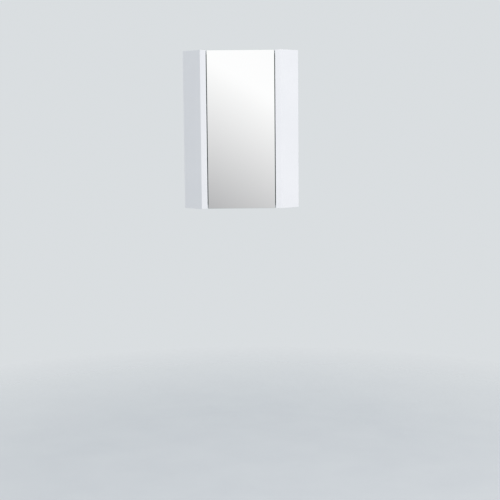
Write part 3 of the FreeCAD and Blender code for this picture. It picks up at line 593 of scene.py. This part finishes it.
def bore(piece, bottom, way, radius, depth):
    """Bore a round hole into a piece: its bottom, the way it opens, its radius and its depth."""
    bpy.ops.object.select_all(action="DESELECT")
    bpy.ops.mesh.primitive_cylinder_add(vertices=BORE_SIDES, radius=radius, depth=depth)
    drill = bpy.context.object
    drill.data.transform(aimed(bottom + way * depth / 2, way))
    cut_away(piece, drill)


cam = turned("cam_lock", [
    (0, 0),
    (RING_TOP[0], 0),
    (RING_FLOOR[0], -CAM_GROOVE),
    (RING_FLOOR[1], -CAM_GROOVE),
    (RING_TOP[1], 0),
    (CAM_FACE, 0),
    (CAM_RADIUS, -CAM_GROOVE),
    (CAM_RADIUS, CAM_GROOVE - CAM_HEIGHT),
    (CAM_FACE, -CAM_HEIGHT),
    (0, -CAM_HEIGHT),
], CAM_SIDES)
cut_cross(cam, *CAM_RECESS)
bore(cam, CAM_BORE_BOTTOM, CAM_BORE_WAY, CAM_BORE_RADIUS, 2 * CAM_RADIUS)
cam_spots = []
for height, way in ((0, DOWN), (CABINET_HEIGHT, UP)):
    cam_spots.append((from_corner(CAM_ALONG, BOLT_OFF_BACK, height), way, -LEFT_SIDE_IN))
    cam_spots.append((from_corner(BOLT_OFF_BACK, CAM_ALONG, height), way, -RIGHT_SIDE_IN))
grey_zinc = plated("grey_cast_zinc", ZINC_DARK, ZINC_LIGHT, ZINC_ROUGHNESS, ZINC_GRAIN_DEPTH)
fit(set_out(cam, "cam_lock_set", cam_spots), "cam_locks", "carcass", grey_zinc)

# Back screws: zinc-plated countersunk screws, driven through the back panels from outside.
# They hold the backs to the side panels, to the bottom and top boards, and to each other in the corner.
SCREW_RADIUS = 1.75 * MM
HEAD_RADIUS = 3.5 * MM
HEAD_HEIGHT = 2 * MM
HEAD_RIM = 0.15 * MM
SCREW_NECK = 1 * MM
SCREW_SIDES = 28
SCREW_POINT = 3
SCREW_PITCH = 0.8
CROSS_REACH = 0.62
CROSS_WIDTH = 0.28
CROSS_DEPTH = 0.6
BACK_SCREW_LENGTH = 32 * MM
END_ROW = 70 * MM
SIDE_ROWS = (END_ROW, CABINET_HEIGHT / 2, CABINET_HEIGHT - END_ROW)
SIDE_REBATE = 8 * MM
SIDE_SCREW_ALONG = SIDE_INSIDE + SIDE_REBATE / 2
CORNER_SCREW_ALONG = BACK_INSIDE / 2
BOARD_SCREWS_ALONG = (80 * MM, 220 * MM)
SCREW_LIGHT = (0.66, 0.67, 0.67, 1)
SCREW_DARK = (0.48, 0.49, 0.50, 1)
SCREW_ROUGHNESS = (0.24, 0.4)


def countersunk(name, shank, head, length):
    """Countersunk cross-head screw, its head at the origin and its point below.

    Its point and pitch are shares of the shank's radius, and its cross follows the head.
    """
    under_neck = -HEAD_HEIGHT - SCREW_NECK
    screw = turned(name, [
        (0, 0),
        (head - HEAD_RIM, 0),
        (head, -HEAD_RIM),
        (shank, -HEAD_HEIGHT),
        (shank, under_neck),
        *thread(shank, under_neck - HEAD_RIM, SCREW_POINT * shank - length, SCREW_PITCH * shank),
        (HEAD_RIM, -length),
        (0, -length),
    ], SCREW_SIDES)
    cut_cross(screw, CROSS_REACH * head, CROSS_WIDTH * head, CROSS_DEPTH * HEAD_HEIGHT)
    return screw


back_spots = []
for height in SIDE_ROWS:
    back_spots.append((from_corner(SIDE_SCREW_ALONG, 0, height), LEFT_BACK_OUT))
    back_spots.append((from_corner(CORNER_SCREW_ALONG, 0, height), LEFT_BACK_OUT))
    back_spots.append((from_corner(0, SIDE_SCREW_ALONG, height), RIGHT_BACK_OUT))
for height in BOARD_MIDDLES:
    for along in BOARD_SCREWS_ALONG:
        back_spots.append((from_corner(along, 0, height), LEFT_BACK_OUT))
        back_spots.append((from_corner(0, along, height), RIGHT_BACK_OUT))
zinc_plate = plated("zinc_plated_screw", SCREW_DARK, SCREW_LIGHT, SCREW_ROUGHNESS, STEEL_MARKS_DEPTH)
back_screw = countersunk("back_screw", SCREW_RADIUS, HEAD_RADIUS, BACK_SCREW_LENGTH)
back_screws = set_out(back_screw, "back_screw_set", back_spots)
fit(back_screws, "back_screws", "carcass", zinc_plate)

# Shelf pins: turned steel pins with a collar, pushed into holes in the side and back panels.
# Four carry each shelf, and their bare ends are rounded.
PIN_RADIUS = 2.5 * MM
PIN_SINK = 9 * MM
PIN_REACH = 10 * MM
PIN_COLLAR_RADIUS = 4 * MM
PIN_COLLAR = 0.8 * MM
COLLAR_CHAMFER = 0.24 * MM
PIN_CHAMFER = 0.6 * MM
PIN_NOSE = ((0.56, 0), (0.84, 0.12), (1, 0.4))
PIN_SIDES = 24
PIN_DROP = PIN_RADIUS + FIT_CLEAR
SHELF_HEIGHTS = (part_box("lower_shelf")[0].z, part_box("upper_shelf")[0].z)
PIN_FROM_BACK = 18 * MM
SIDE_PIN_OFF_BACK = BACK_INSIDE + PIN_FROM_BACK
BACK_PIN_ALONG = 110 * MM
pin = turned("shelf_pin", [
    (0, PIN_REACH),
    *[(out * PIN_RADIUS, PIN_REACH - back * PIN_RADIUS) for out, back in PIN_NOSE],
    (PIN_RADIUS, PIN_COLLAR),
    (PIN_COLLAR_RADIUS - COLLAR_CHAMFER, PIN_COLLAR),
    (PIN_COLLAR_RADIUS, PIN_COLLAR - COLLAR_CHAMFER),
    (PIN_COLLAR_RADIUS, 0),
    (PIN_RADIUS, 0),
    (PIN_RADIUS, PIN_CHAMFER - PIN_SINK),
    (PIN_RADIUS - PIN_CHAMFER, -PIN_SINK),
    (0, -PIN_SINK),
], PIN_SIDES)
pin_spots = []
for shelf_height in SHELF_HEIGHTS:
    height = shelf_height - PIN_DROP
    pin_spots.append((from_corner(SIDE_INSIDE, SIDE_PIN_OFF_BACK, height), LEFT_SIDE_IN))
    pin_spots.append((from_corner(SIDE_PIN_OFF_BACK, SIDE_INSIDE, height), RIGHT_SIDE_IN))
    pin_spots.append((from_corner(BACK_PIN_ALONG, BACK_INSIDE, height), -LEFT_BACK_OUT))
    pin_spots.append((from_corner(BACK_INSIDE, BACK_PIN_ALONG, height), -RIGHT_BACK_OUT))
fit(set_out(pin, "shelf_pin_set", pin_spots), "shelf_pins", "carcass", bright_steel)

# Shelves: two loose 16 mm lacquered boards on the pins, five-sided like the cabinet.
# Their front edges stay behind the hinges and the closed door.
for node in ("lower_shelf", "upper_shelf"):
    fit(eased(node, BOARD_ARRIS), node, "carcass", lacquer)

# Hinge plates: pressed steel crosses, nickel plated, on the inner face of the left side panel.
# The pressing and the plating leave every arris soft.
PLATE_ARRIS = 0.4 * MM
NICKEL_LIGHT = (0.74, 0.725, 0.69, 1)
NICKEL_DARK = (0.66, 0.645, 0.61, 1)
NICKEL_ROUGHNESS = (0.2, 0.3)
NICKEL_MARKS_DEPTH = 0.001 * MM
nickel = plated("satin_nickel", NICKEL_DARK, NICKEL_LIGHT, NICKEL_ROUGHNESS, NICKEL_MARKS_DEPTH)
for node in ("lower_hinge_plate", "upper_hinge_plate"):
    fit(eased(node, PLATE_ARRIS), node, "carcass", nickel)

# Plate screws: countersunk screws through the two wings of each hinge plate, into the side panel.
# They are of the same make as the back screws, but shorter.
PLATE_THICK = 3 * MM
PLATE_FACE = SIDE_INSIDE - PLATE_THICK
PLATE_SCREW_LENGTH = 14 * MM
HINGE_AXIS = middle("hinge_pins")
HINGE_OFF_BACK = (HINGE_AXIS.x - HINGE_AXIS.y) / math.sqrt(2)
HINGE_HEIGHTS = (middle("lower_hinge_arm").z, middle("upper_hinge_arm").z)
WING_BEHIND_PIN = 36 * MM
WING_OFF_BACK = HINGE_OFF_BACK - WING_BEHIND_PIN
WING_RISE = 17 * MM
plate_spots = []
for height in HINGE_HEIGHTS:
    for rise in (-WING_RISE, WING_RISE):
        plate_spots.append((from_corner(PLATE_FACE, WING_OFF_BACK, height + rise), LEFT_SIDE_IN))
plate_screw = countersunk("plate_screw", SCREW_RADIUS, HEAD_RADIUS, PLATE_SCREW_LENGTH)
plate_screws = set_out(plate_screw, "plate_screw_set", plate_spots)
fit(plate_screws, "plate_screws", "carcass", zinc_plate)

# Hinge arms: thick nickel-plated strip steel, hooked round the edge of the door into the hinge cups.
# Each lies on its plate and holds the pin of its cup, on which the door turns.
ARM_ARRIS = 0.5 * MM
for node in ("lower_hinge_arm", "upper_hinge_arm"):
    fit(eased(node, ARM_ARRIS), node, "carcass", nickel)

# Arm screws: round-headed machine screws that clamp each arm to its plate.
# Their cross recess takes the same driver as the other screws.
ARM_THICK = 3.2 * MM
ARM_FACE = PLATE_FACE - ARM_THICK
ARM_SCREW_BEHIND_PIN = 52 * MM
ARM_SCREW_OFF_BACK = HINGE_OFF_BACK - ARM_SCREW_BEHIND_PIN
ARM_SCREW_HEAD = 2.2 * MM
ARM_SCREW_ROUND = ((0.6, 1), (0.9, 0.8), (1, 0.5))
ARM_SCREW_SINK = 10 * MM
ARM_SCREW_LENGTH = ARM_THICK + PLATE_THICK + ARM_SCREW_SINK
ARM_SCREW_PITCH = 0.7 * MM
ARM_SCREW_TIP = 0.5 * SCREW_RADIUS
ARM_CROSS_DEPTH = 0.7 * ARM_SCREW_HEAD
arm_screw = turned("arm_screw", [
    (0, ARM_SCREW_HEAD),
    *[(out * HEAD_RADIUS, up * ARM_SCREW_HEAD) for out, up in ARM_SCREW_ROUND],
    (HEAD_RADIUS, 0),
    (SCREW_RADIUS, 0),
    (SCREW_RADIUS, -SCREW_NECK),
    *thread(SCREW_RADIUS, -SCREW_NECK - HEAD_RIM, SCREW_RADIUS - ARM_SCREW_LENGTH, ARM_SCREW_PITCH),
    (ARM_SCREW_TIP, -ARM_SCREW_LENGTH),
    (0, -ARM_SCREW_LENGTH),
], SCREW_SIDES)
cut_cross(arm_screw, CROSS_REACH * HEAD_RADIUS, CROSS_WIDTH * HEAD_RADIUS, ARM_CROSS_DEPTH)
arm_spots = []
for height in HINGE_HEIGHTS:
    arm_spots.append((from_corner(ARM_FACE, ARM_SCREW_OFF_BACK, height), LEFT_SIDE_IN))
fit(set_out(arm_screw, "arm_screw_set", arm_spots), "arm_screws", "carcass", zinc_plate)

# Latch housing: moulded light grey plastic, under the top board near the free edge of the door.
# It has two ears for its screws, and thinned panels in both sides that keep the moulding true.
HOUSING_ARRIS = 0.6 * MM
PANEL_MARGIN = 1.6 * MM
PANEL_DRAFT = 0.3 * MM
PANEL_SINK = 0.5 * MM
PANEL_LEAST_AREA = 100 * MM * MM
FACING_SIDEWAYS = 0.99
HOUSING_LIGHT = (0.70, 0.70, 0.71, 1)
HOUSING_DARK = (0.64, 0.64, 0.655, 1)
HOUSING_ROUGHNESS = (0.42, 0.56)
MOULD_CLOUDS = (30, 3)
MOULD_GRAIN = (1600, 2)
MOULD_GRAIN_DEPTH = 0.02 * MM


def moulded(name, dark, light, roughness):
    """Moulded plastic with the fine spark grain of its mould."""
    finish, tree, shader, place = new_finish(name)
    clouds = mottle(tree, place, *MOULD_CLOUDS)
    tree.links.new(tint(tree, clouds, dark, light), shader.inputs["Base Color"])
    grain = mottle(tree, place, *MOULD_GRAIN)
    tree.links.new(spread(tree, grain, *roughness), shader.inputs["Roughness"])
    relief(tree, shader, grain, MOULD_GRAIN_DEPTH)
    return finish


housing = eased("latch_body", HOUSING_ARRIS)
select_faces(housing, lambda face: abs(face.normal.x) > FACING_SIDEWAYS and face.area > PANEL_LEAST_AREA)
bpy.ops.mesh.inset(thickness=PANEL_MARGIN, use_individual=True)
bpy.ops.mesh.inset(thickness=PANEL_DRAFT, depth=-PANEL_SINK, use_individual=True)
bpy.ops.object.mode_set(mode="OBJECT")
housing_grey = moulded("moulded_light_grey", HOUSING_DARK, HOUSING_LIGHT, HOUSING_ROUGHNESS)
fit(housing, "latch_body", "carcass", housing_grey)

# Latch screws: two countersunk screws through the ears of the housing, up into the top board.
# They are as long as the plate screws.
LATCH_X = middle("latch_body").x
LATCH_SCREW_OUT = 13 * MM
LATCH_SCREW_Y = middle("latch_screws").y
EAR_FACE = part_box("latch_screws")[0].z
LATCH_SCREW_LENGTH = 14 * MM
latch_spots = []
for out in (-LATCH_SCREW_OUT, LATCH_SCREW_OUT):
    latch_spots.append((Vector((LATCH_X + out, LATCH_SCREW_Y, EAR_FACE)), DOWN))
latch_screw = countersunk("latch_screw", SCREW_RADIUS, HEAD_RADIUS, LATCH_SCREW_LENGTH)
latch_screws = set_out(latch_screw, "latch_screw_set", latch_spots)
fit(latch_screws, "latch_screws", "carcass", zinc_plate)

# Latch spring: a coil of drawn spring wire between the back of the housing and the bottom of the plunger.
# It shortens as the plunger goes in, but here it is one fixed coil, tied to no body.
SPRING_WIRE = 0.4 * MM
SPRING_RADIUS = 2.2 * MM
SPRING_TURNS = 10
SPRING_STEPS = 24
SPRING_SIDES = 10
SPRING_ROUGHNESS = (0.22, 0.34)
LATCH_Z = middle("latch_body").z
SPRING_FRONT = Vector((LATCH_X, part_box("latch_spring")[0].y + SPRING_WIRE, LATCH_Z))
SPRING_BACK = Vector((LATCH_X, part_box("latch_spring")[1].y - SPRING_WIRE, LATCH_Z))
bpy.ops.object.select_all(action="DESELECT")
bpy.ops.mesh.primitive_circle_add(vertices=SPRING_SIDES, radius=SPRING_WIRE)
spring = bpy.context.object
spring.name = spring.data.name = "latch_coil"
spring.data.transform(Matrix.Translation((SPRING_RADIUS, 0, 0)) @ Matrix.Rotation(QUARTER_TURN, 4, "X"))
winding = spring.modifiers.new("winding", "SCREW")
winding.screw_offset = (SPRING_BACK - SPRING_FRONT).length / SPRING_TURNS
winding.iterations = SPRING_TURNS
winding.steps = winding.render_steps = SPRING_STEPS
bpy.ops.object.modifier_apply(modifier=winding.name)
bpy.ops.object.mode_set(mode="EDIT")
bpy.ops.mesh.select_all(action="SELECT")
bpy.ops.mesh.fill_holes(sides=SPRING_SIDES)
bpy.ops.mesh.normals_make_consistent(inside=False)
bpy.ops.object.mode_set(mode="OBJECT")
spring.data.transform(Matrix.Translation(SPRING_FRONT) @ Matrix.Rotation(-QUARTER_TURN, 4, "X"))
smooth(spring)
spring_wire = plated("drawn_spring_wire", SCREW_DARK, SCREW_LIGHT, SPRING_ROUGHNESS, STEEL_MARKS_DEPTH)
spring.data.materials.append(spring_wire)
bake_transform(spring)
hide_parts("latch_spring")

# Latch plunger: a moulded dark grey rod that slides in the housing, hollow behind for its spring.
# Pressing the door pushes it in.
PLUNGER_ARRIS = 0.35 * MM
PLUNGER_LIGHT = (0.20, 0.20, 0.21, 1)
PLUNGER_DARK = (0.15, 0.15, 0.16, 1)
PLUNGER_ROUGHNESS = (0.36, 0.5)
plunger_grey = moulded("moulded_dark_grey", PLUNGER_DARK, PLUNGER_LIGHT, PLUNGER_ROUGHNESS)
fit(eased("latch_plunger", PLUNGER_ARRIS), "latch_plunger", "plunger", plunger_grey)

# Latch magnet: a small round nickel-plated magnet, pressed into the nose of the plunger.
# It holds the strike plate of the closed door.
MAGNET_ARRIS = 0.25 * MM
fit(eased("latch_magnet", MAGNET_ARRIS), "latch_magnet", "plunger", bright_steel)

# Door board: 16 mm lacquered fibreboard behind the mirror, bevelled at the back on the hinge side.
# It is bored for the hinge cups and carries the strike plate.
fit(eased("door_panel", BOARD_ARRIS), "door_panel", "door", lacquer)

# Hinge cups: deep-drawn steel, nickel plated, let into the back of the door board.
# Each has a flange with two ears, and its pocket takes the hook of the arm.
CUP_ARRIS = 0.35 * MM
for node in ("lower_hinge_cup", "upper_hinge_cup"):
    fit(eased(node, CUP_ARRIS), node, "door", nickel)

# Hinge pins: plain steel pins with eased ends, pressed across the two cups.
# The hooks of the arms lie round them.
HINGE_PIN_ARRIS = 0.3 * MM
fit(eased("hinge_pins", HINGE_PIN_ARRIS), "hinge_pins", "door", bright_steel)

# Cup screws: two countersunk screws through the ears of each cup, into the door board.
# They are shorter than the door board is thick.
CUP_SCREW_X = middle("cup_screws").x
CUP_SCREW_RISE = 22.5 * MM
CUP_SCREW_LENGTH = 13 * MM
CUP_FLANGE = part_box("cup_screws")[1].y
INTO_CABINET = Vector((0, 1, 0))
cup_spots = []
for height in HINGE_HEIGHTS:
    for rise in (-CUP_SCREW_RISE, CUP_SCREW_RISE):
        cup_spots.append((Vector((CUP_SCREW_X, CUP_FLANGE, height + rise)), INTO_CABINET))
cup_screw = countersunk("cup_screw", SCREW_RADIUS, HEAD_RADIUS, CUP_SCREW_LENGTH)
fit(set_out(cup_screw, "cup_screw_set", cup_spots), "cup_screws", "door", zinc_plate)

# Strike plate: a turned disc of plated steel on the back of the door, opposite the magnet.
# Its rim is rounded, so that it doesn't catch, and its middle is countersunk for one screw.
STRIKE_RADIUS = 8 * MM
STRIKE_THICK = 1.2 * MM
STRIKE_ROUND = 0.6 * MM
STRIKE_ROUND_MIDDLE = 0.3 * STRIKE_ROUND
STRIKE_SIDES = 40
STRIKE_SINK_TOP = 2.6 * MM
STRIKE_SINK_END = 1.89 * MM
DOOR_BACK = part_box("door_panel")[1].y
STRIKE_SPOT = Vector((LATCH_X, DOOR_BACK, LATCH_Z))
disc = turned("strike", [
    (STRIKE_SINK_TOP, STRIKE_THICK),
    (STRIKE_RADIUS - STRIKE_ROUND, STRIKE_THICK),
    (STRIKE_RADIUS - STRIKE_ROUND_MIDDLE, STRIKE_THICK - STRIKE_ROUND_MIDDLE),
    (STRIKE_RADIUS, STRIKE_THICK - STRIKE_ROUND),
    (STRIKE_RADIUS, 0),
    (STRIKE_SINK_END, 0),
    (STRIKE_SINK_TOP, STRIKE_THICK),
], STRIKE_SIDES)
strike = set_out(disc, "strike_disc", [(STRIKE_SPOT, INTO_CABINET)])
fit(strike, "strike_plate", "door", bright_steel)

# Strike screw: one small countersunk screw through the middle of the strike plate, into the door board.
# Its head lies level with the plate.
STRIKE_SCREW_RADIUS = 1.25 * MM
STRIKE_SCREW_HEAD = 2.5 * MM
STRIKE_SCREW_LENGTH = 11 * MM
strike_screw_spot = STRIKE_SPOT + INTO_CABINET * STRIKE_THICK
strike_screw = countersunk("strike_screw", STRIKE_SCREW_RADIUS, STRIKE_SCREW_HEAD, STRIKE_SCREW_LENGTH)
strike_screw = set_out(strike_screw, "strike_disc_screw", [(strike_screw_spot, INTO_CABINET)])
fit(strike_screw, "strike_screw", "door", zinc_plate)

# Bumpers: two clear soft domes, stuck to the back of the door at its free edge.
# They meet the front edges of the bottom and top boards and quiet the door.
BUMPER_RADIUS = 5 * MM
BUMPER_HEIGHT = 4.7 * MM
BUMPER_DOME = ((0.42, 0.97), (0.68, 0.86), (0.87, 0.66), (0.97, 0.36), (1, 0.1))
BUMPER_SIDES = 32
BUMPER_X = middle("door_bumpers").x
RUBBER_LIGHT = (0.80, 0.80, 0.78, 1)
RUBBER_DARK = (0.70, 0.71, 0.70, 1)
RUBBER_CLOUDS = (300, 2)
RUBBER_ROUGHNESS = (0.16, 0.3)
RUBBER_CLEARNESS = 0.55
RUBBER_IOR = 1.48


def clear_rubber():
    """Cloudy see-through rubber."""
    finish, tree, shader, place = new_finish("clear_soft_rubber")
    clouds = mottle(tree, place, *RUBBER_CLOUDS)
    tree.links.new(tint(tree, clouds, RUBBER_DARK, RUBBER_LIGHT), shader.inputs["Base Color"])
    tree.links.new(spread(tree, clouds, *RUBBER_ROUGHNESS), shader.inputs["Roughness"])
    shader.inputs["Transmission Weight"].default_value = RUBBER_CLEARNESS
    shader.inputs["IOR"].default_value = RUBBER_IOR
    return finish


dome = turned("bumper", [
    (0, BUMPER_HEIGHT),
    *[(out * BUMPER_RADIUS, up * BUMPER_HEIGHT) for out, up in BUMPER_DOME],
    (BUMPER_RADIUS, 0),
    (0, 0),
], BUMPER_SIDES)
bumper_spots = [(Vector((BUMPER_X, DOOR_BACK, height)), INTO_CABINET) for height in BOARD_MIDDLES]
fit(set_out(dome, "bumper_pair", bumper_spots), "door_bumpers", "door", clear_rubber())

# Mirror tape: three upright strips of black foam tape between the door board and the glass.
# They hold the whole weight of the mirror and leave a thin dark line at its edges.
TAPE_LIGHT = (0.06, 0.06, 0.06, 1)
TAPE_DARK = (0.025, 0.025, 0.025, 1)
TAPE_CELLS = (1800, 4)
TAPE_CELL_DEPTH = 0.1 * MM
TAPE_ROUGHNESS = 0.9


def foam_tape():
    """Black foam with open cells at its cut edges."""
    finish, tree, shader, place = new_finish("black_foam_tape")
    cells = mottle(tree, place, *TAPE_CELLS)
    tree.links.new(tint(tree, cells, TAPE_DARK, TAPE_LIGHT), shader.inputs["Base Color"])
    shader.inputs["Roughness"].default_value = TAPE_ROUGHNESS
    relief(tree, shader, cells, TAPE_CELL_DEPTH)
    return finish


def coat(node, finish):
    """A CAD piece whose shape is right as it is gets a finish."""
    cad[node].data.materials.clear()
    cad[node].data.materials.append(finish)


coat("mirror_tape", foam_tape())

# Mirror: 4 mm float glass, silvered behind, that covers the whole front of the door.
# Its edges are ground and show the green of the glass, and a fine arris runs round the front.
SILVER = (0.99, 0.992, 0.992, 1)
SILVER_SHADE = (0.98, 0.984, 0.983, 1)
SILVER_CLOUDS = (3, 2)
GLASS_EDGE = (0.40, 0.51, 0.47, 1)
GLASS_EDGE_LIGHT = (0.46, 0.565, 0.525, 1)
GLASS_GRINDING = (700, 4)
EDGE_ROUGHNESS = 0.28
SILVER_ROUGHNESS = 0.012


def silvered_glass():
    """Silver seen through clear glass in front, and ground glass at the edges."""
    finish, tree, shader, place = new_finish("silvered_glass")
    front = facing(tree, place, -INTO_CABINET)
    silver = tint(tree, mottle(tree, place, *SILVER_CLOUDS), SILVER_SHADE, SILVER)
    edge = tint(tree, mottle(tree, place, *GLASS_GRINDING), GLASS_EDGE, GLASS_EDGE_LIGHT)
    tree.links.new(overlay(tree, front, edge, silver), shader.inputs["Base Color"])
    tree.links.new(front, shader.inputs["Metallic"])
    polish = spread(tree, front, EDGE_ROUGHNESS, SILVER_ROUGHNESS, 0, 1)
    tree.links.new(polish, shader.inputs["Roughness"])
    return finish


coat("mirror_glass", silvered_glass())

# Floor: a plain pale matt floor, well below the hanging cabinet.
# It fades out at its rim, so that it meets the background without an edge.
FLOOR_LEVEL = -1.09
FLOOR_RADIUS = 2.4
FLOOR_SIDES = 96
FADE_START = 0.84
FLOOR_LIGHT = (0.78, 0.80, 0.81, 1)
FLOOR_DARK = (0.75, 0.77, 0.785, 1)
FLOOR_CLOUDS = (4, 4)
FLOOR_ROUGHNESS = 0.8


def pale_floor():
    """Pale matt floor that fades out towards its rim."""
    finish, tree, shader, place = new_finish("pale_floor")
    clouds = mottle(tree, place, *FLOOR_CLOUDS)
    tree.links.new(tint(tree, clouds, FLOOR_DARK, FLOOR_LIGHT), shader.inputs["Base Color"])
    shader.inputs["Roughness"].default_value = FLOOR_ROUGHNESS
    from_middle = tree.nodes.new("ShaderNodeVectorMath")
    from_middle.operation = "LENGTH"
    tree.links.new(place.outputs["Object"], from_middle.inputs[0])
    fade = spread(tree, from_middle.outputs["Value"], 1, 0, FADE_START, FLOOR_RADIUS)
    tree.links.new(fade, shader.inputs["Alpha"])
    return finish


bpy.ops.object.select_all(action="DESELECT")
bpy.ops.mesh.primitive_circle_add(
    vertices=FLOOR_SIDES, radius=FLOOR_RADIUS, fill_type="NGON", location=(0, 0, FLOOR_LEVEL))
floor = bpy.context.object
floor.name = "floor"
floor.data.materials.append(pale_floor())

# Lamp: one large soft lamp, in front of the cabinet, to the right and a little above.
# It leaves the left side panel in half shade.
LAMP_PLACE = Vector((3.4, -6.2, 1.8))
LAMP_AIM = Vector((0, -0.2, 0.3))
LAMP_SIZE = 2.4
LAMP_POWER = 206
LAMP_COLOUR = (1, 0.95, 0.95)
bpy.ops.object.light_add(type="AREA", location=LAMP_PLACE)
lamp = bpy.context.object
lamp.name = "soft_lamp"
lamp.rotation_euler = (LAMP_AIM - LAMP_PLACE).to_track_quat("-Z", "Y").to_euler()
lamp.data.shape = "DISK"
lamp.data.size = LAMP_SIZE
lamp.data.energy = LAMP_POWER
lamp.data.color = LAMP_COLOUR

# Surround: an even, slightly cool fill from all sides, and a plain pale background.
# Mirror and metal see tones that run from grey, low and on the left, to white a little above the middle,
# and to a pale grey overhead.
BACKGROUND = (0.70, 0.73, 0.75, 1)
FILL_COLOUR = (0.905, 0.955, 1, 1)
FILL_STRENGTH = 0.7
TONE_TILT = 0.6
TONE_SIDE = 0.06
MIRRORED_TONES = (
    (-1, (0.46, 0.46, 0.47, 1)),
    (-0.5, (0.30, 0.302, 0.31, 1)),
    (-0.13, (0.352, 0.354, 0.364, 1)),
    (0.036, (1, 1, 1, 1)),
    (1, (0.80, 0.81, 0.825, 1)),
)


def mirrored_tones(sky):
    """The tones that mirror and metal see, by direction."""
    look = sky.nodes.new("ShaderNodeTexCoord")
    axes = sky.nodes.new("ShaderNodeSeparateXYZ")
    sky.links.new(look.outputs["Generated"], axes.inputs["Vector"])
    sideways = spread(sky, axes.outputs["X"], -TONE_SIDE, TONE_SIDE, -TONE_SIDE, TONE_SIDE)
    climb = sky.nodes.new("ShaderNodeMath")
    climb.operation = "MULTIPLY_ADD"
    climb.inputs[1].default_value = TONE_TILT
    sky.links.new(sideways, climb.inputs[0])
    sky.links.new(axes.outputs["Z"], climb.inputs[2])
    lowest, highest = MIRRORED_TONES[0][0], MIRRORED_TONES[-1][0]
    ramp = sky.nodes.new("ShaderNodeValToRGB")
    stops = ramp.color_ramp.elements
    first_stops = len(stops)
    for number, (height, tone) in enumerate(MIRRORED_TONES):
        stop = stops[number] if number < first_stops else stops.new(1)
        stop.position = (height - lowest) / (highest - lowest)
        stop.color = tone
    sky.links.new(spread(sky, climb.outputs["Value"], 0, 1, lowest, highest), ramp.inputs["Fac"])
    return ramp.outputs["Color"]


def instead(sky, share, usual, other):
    """One light in place of the usual one, for the rays that share names."""
    mix = sky.nodes.new("ShaderNodeMixShader")
    sky.links.new(share, mix.inputs["Fac"])
    sky.links.new(usual, mix.inputs[1])
    sky.links.new(other, mix.inputs[2])
    return mix.outputs["Shader"]


surround = bpy.data.worlds.new("surround")
surround.use_nodes = True
bpy.context.scene.world = surround
sky = surround.node_tree
fill = sky.nodes["Background"]
fill.inputs["Color"].default_value = FILL_COLOUR
fill.inputs["Strength"].default_value = FILL_STRENGTH
mirrored = sky.nodes.new("ShaderNodeBackground")
sky.links.new(mirrored_tones(sky), mirrored.inputs["Color"])
background = sky.nodes.new("ShaderNodeBackground")
background.inputs["Color"].default_value = BACKGROUND
rays = sky.nodes.new("ShaderNodeLightPath")
mirrored_rays = larger(sky, rays.outputs["Is Glossy Ray"], rays.outputs["Is Transmission Ray"])
light = instead(sky, mirrored_rays, fill.outputs["Background"], mirrored.outputs["Background"])
light = instead(sky, rays.outputs["Is Camera Ray"], light, background.outputs["Background"])
sky.links.new(light, sky.nodes["World Output"].inputs["Surface"])
bpy.context.scene.view_settings.view_transform = "Standard"

# Camera: well in front of the cabinet, level with its middle, and tipped down so that it comes high up.
# It leans by half a degree, as the photograph does.
LENS = 77.96
CAMERA_PLACE = (0.0246, -4.4205, 0.3178)
CAMERA_TIP = 0.115
CAMERA_LEAN = 0.0093
CAMERA_TURN = 0.00227
bpy.ops.object.camera_add(
    location=CAMERA_PLACE, rotation=(QUARTER_TURN - CAMERA_TIP, CAMERA_LEAN, -CAMERA_TURN))
camera = bpy.context.object
camera.data.lens = LENS
bpy.context.scene.camera = camera
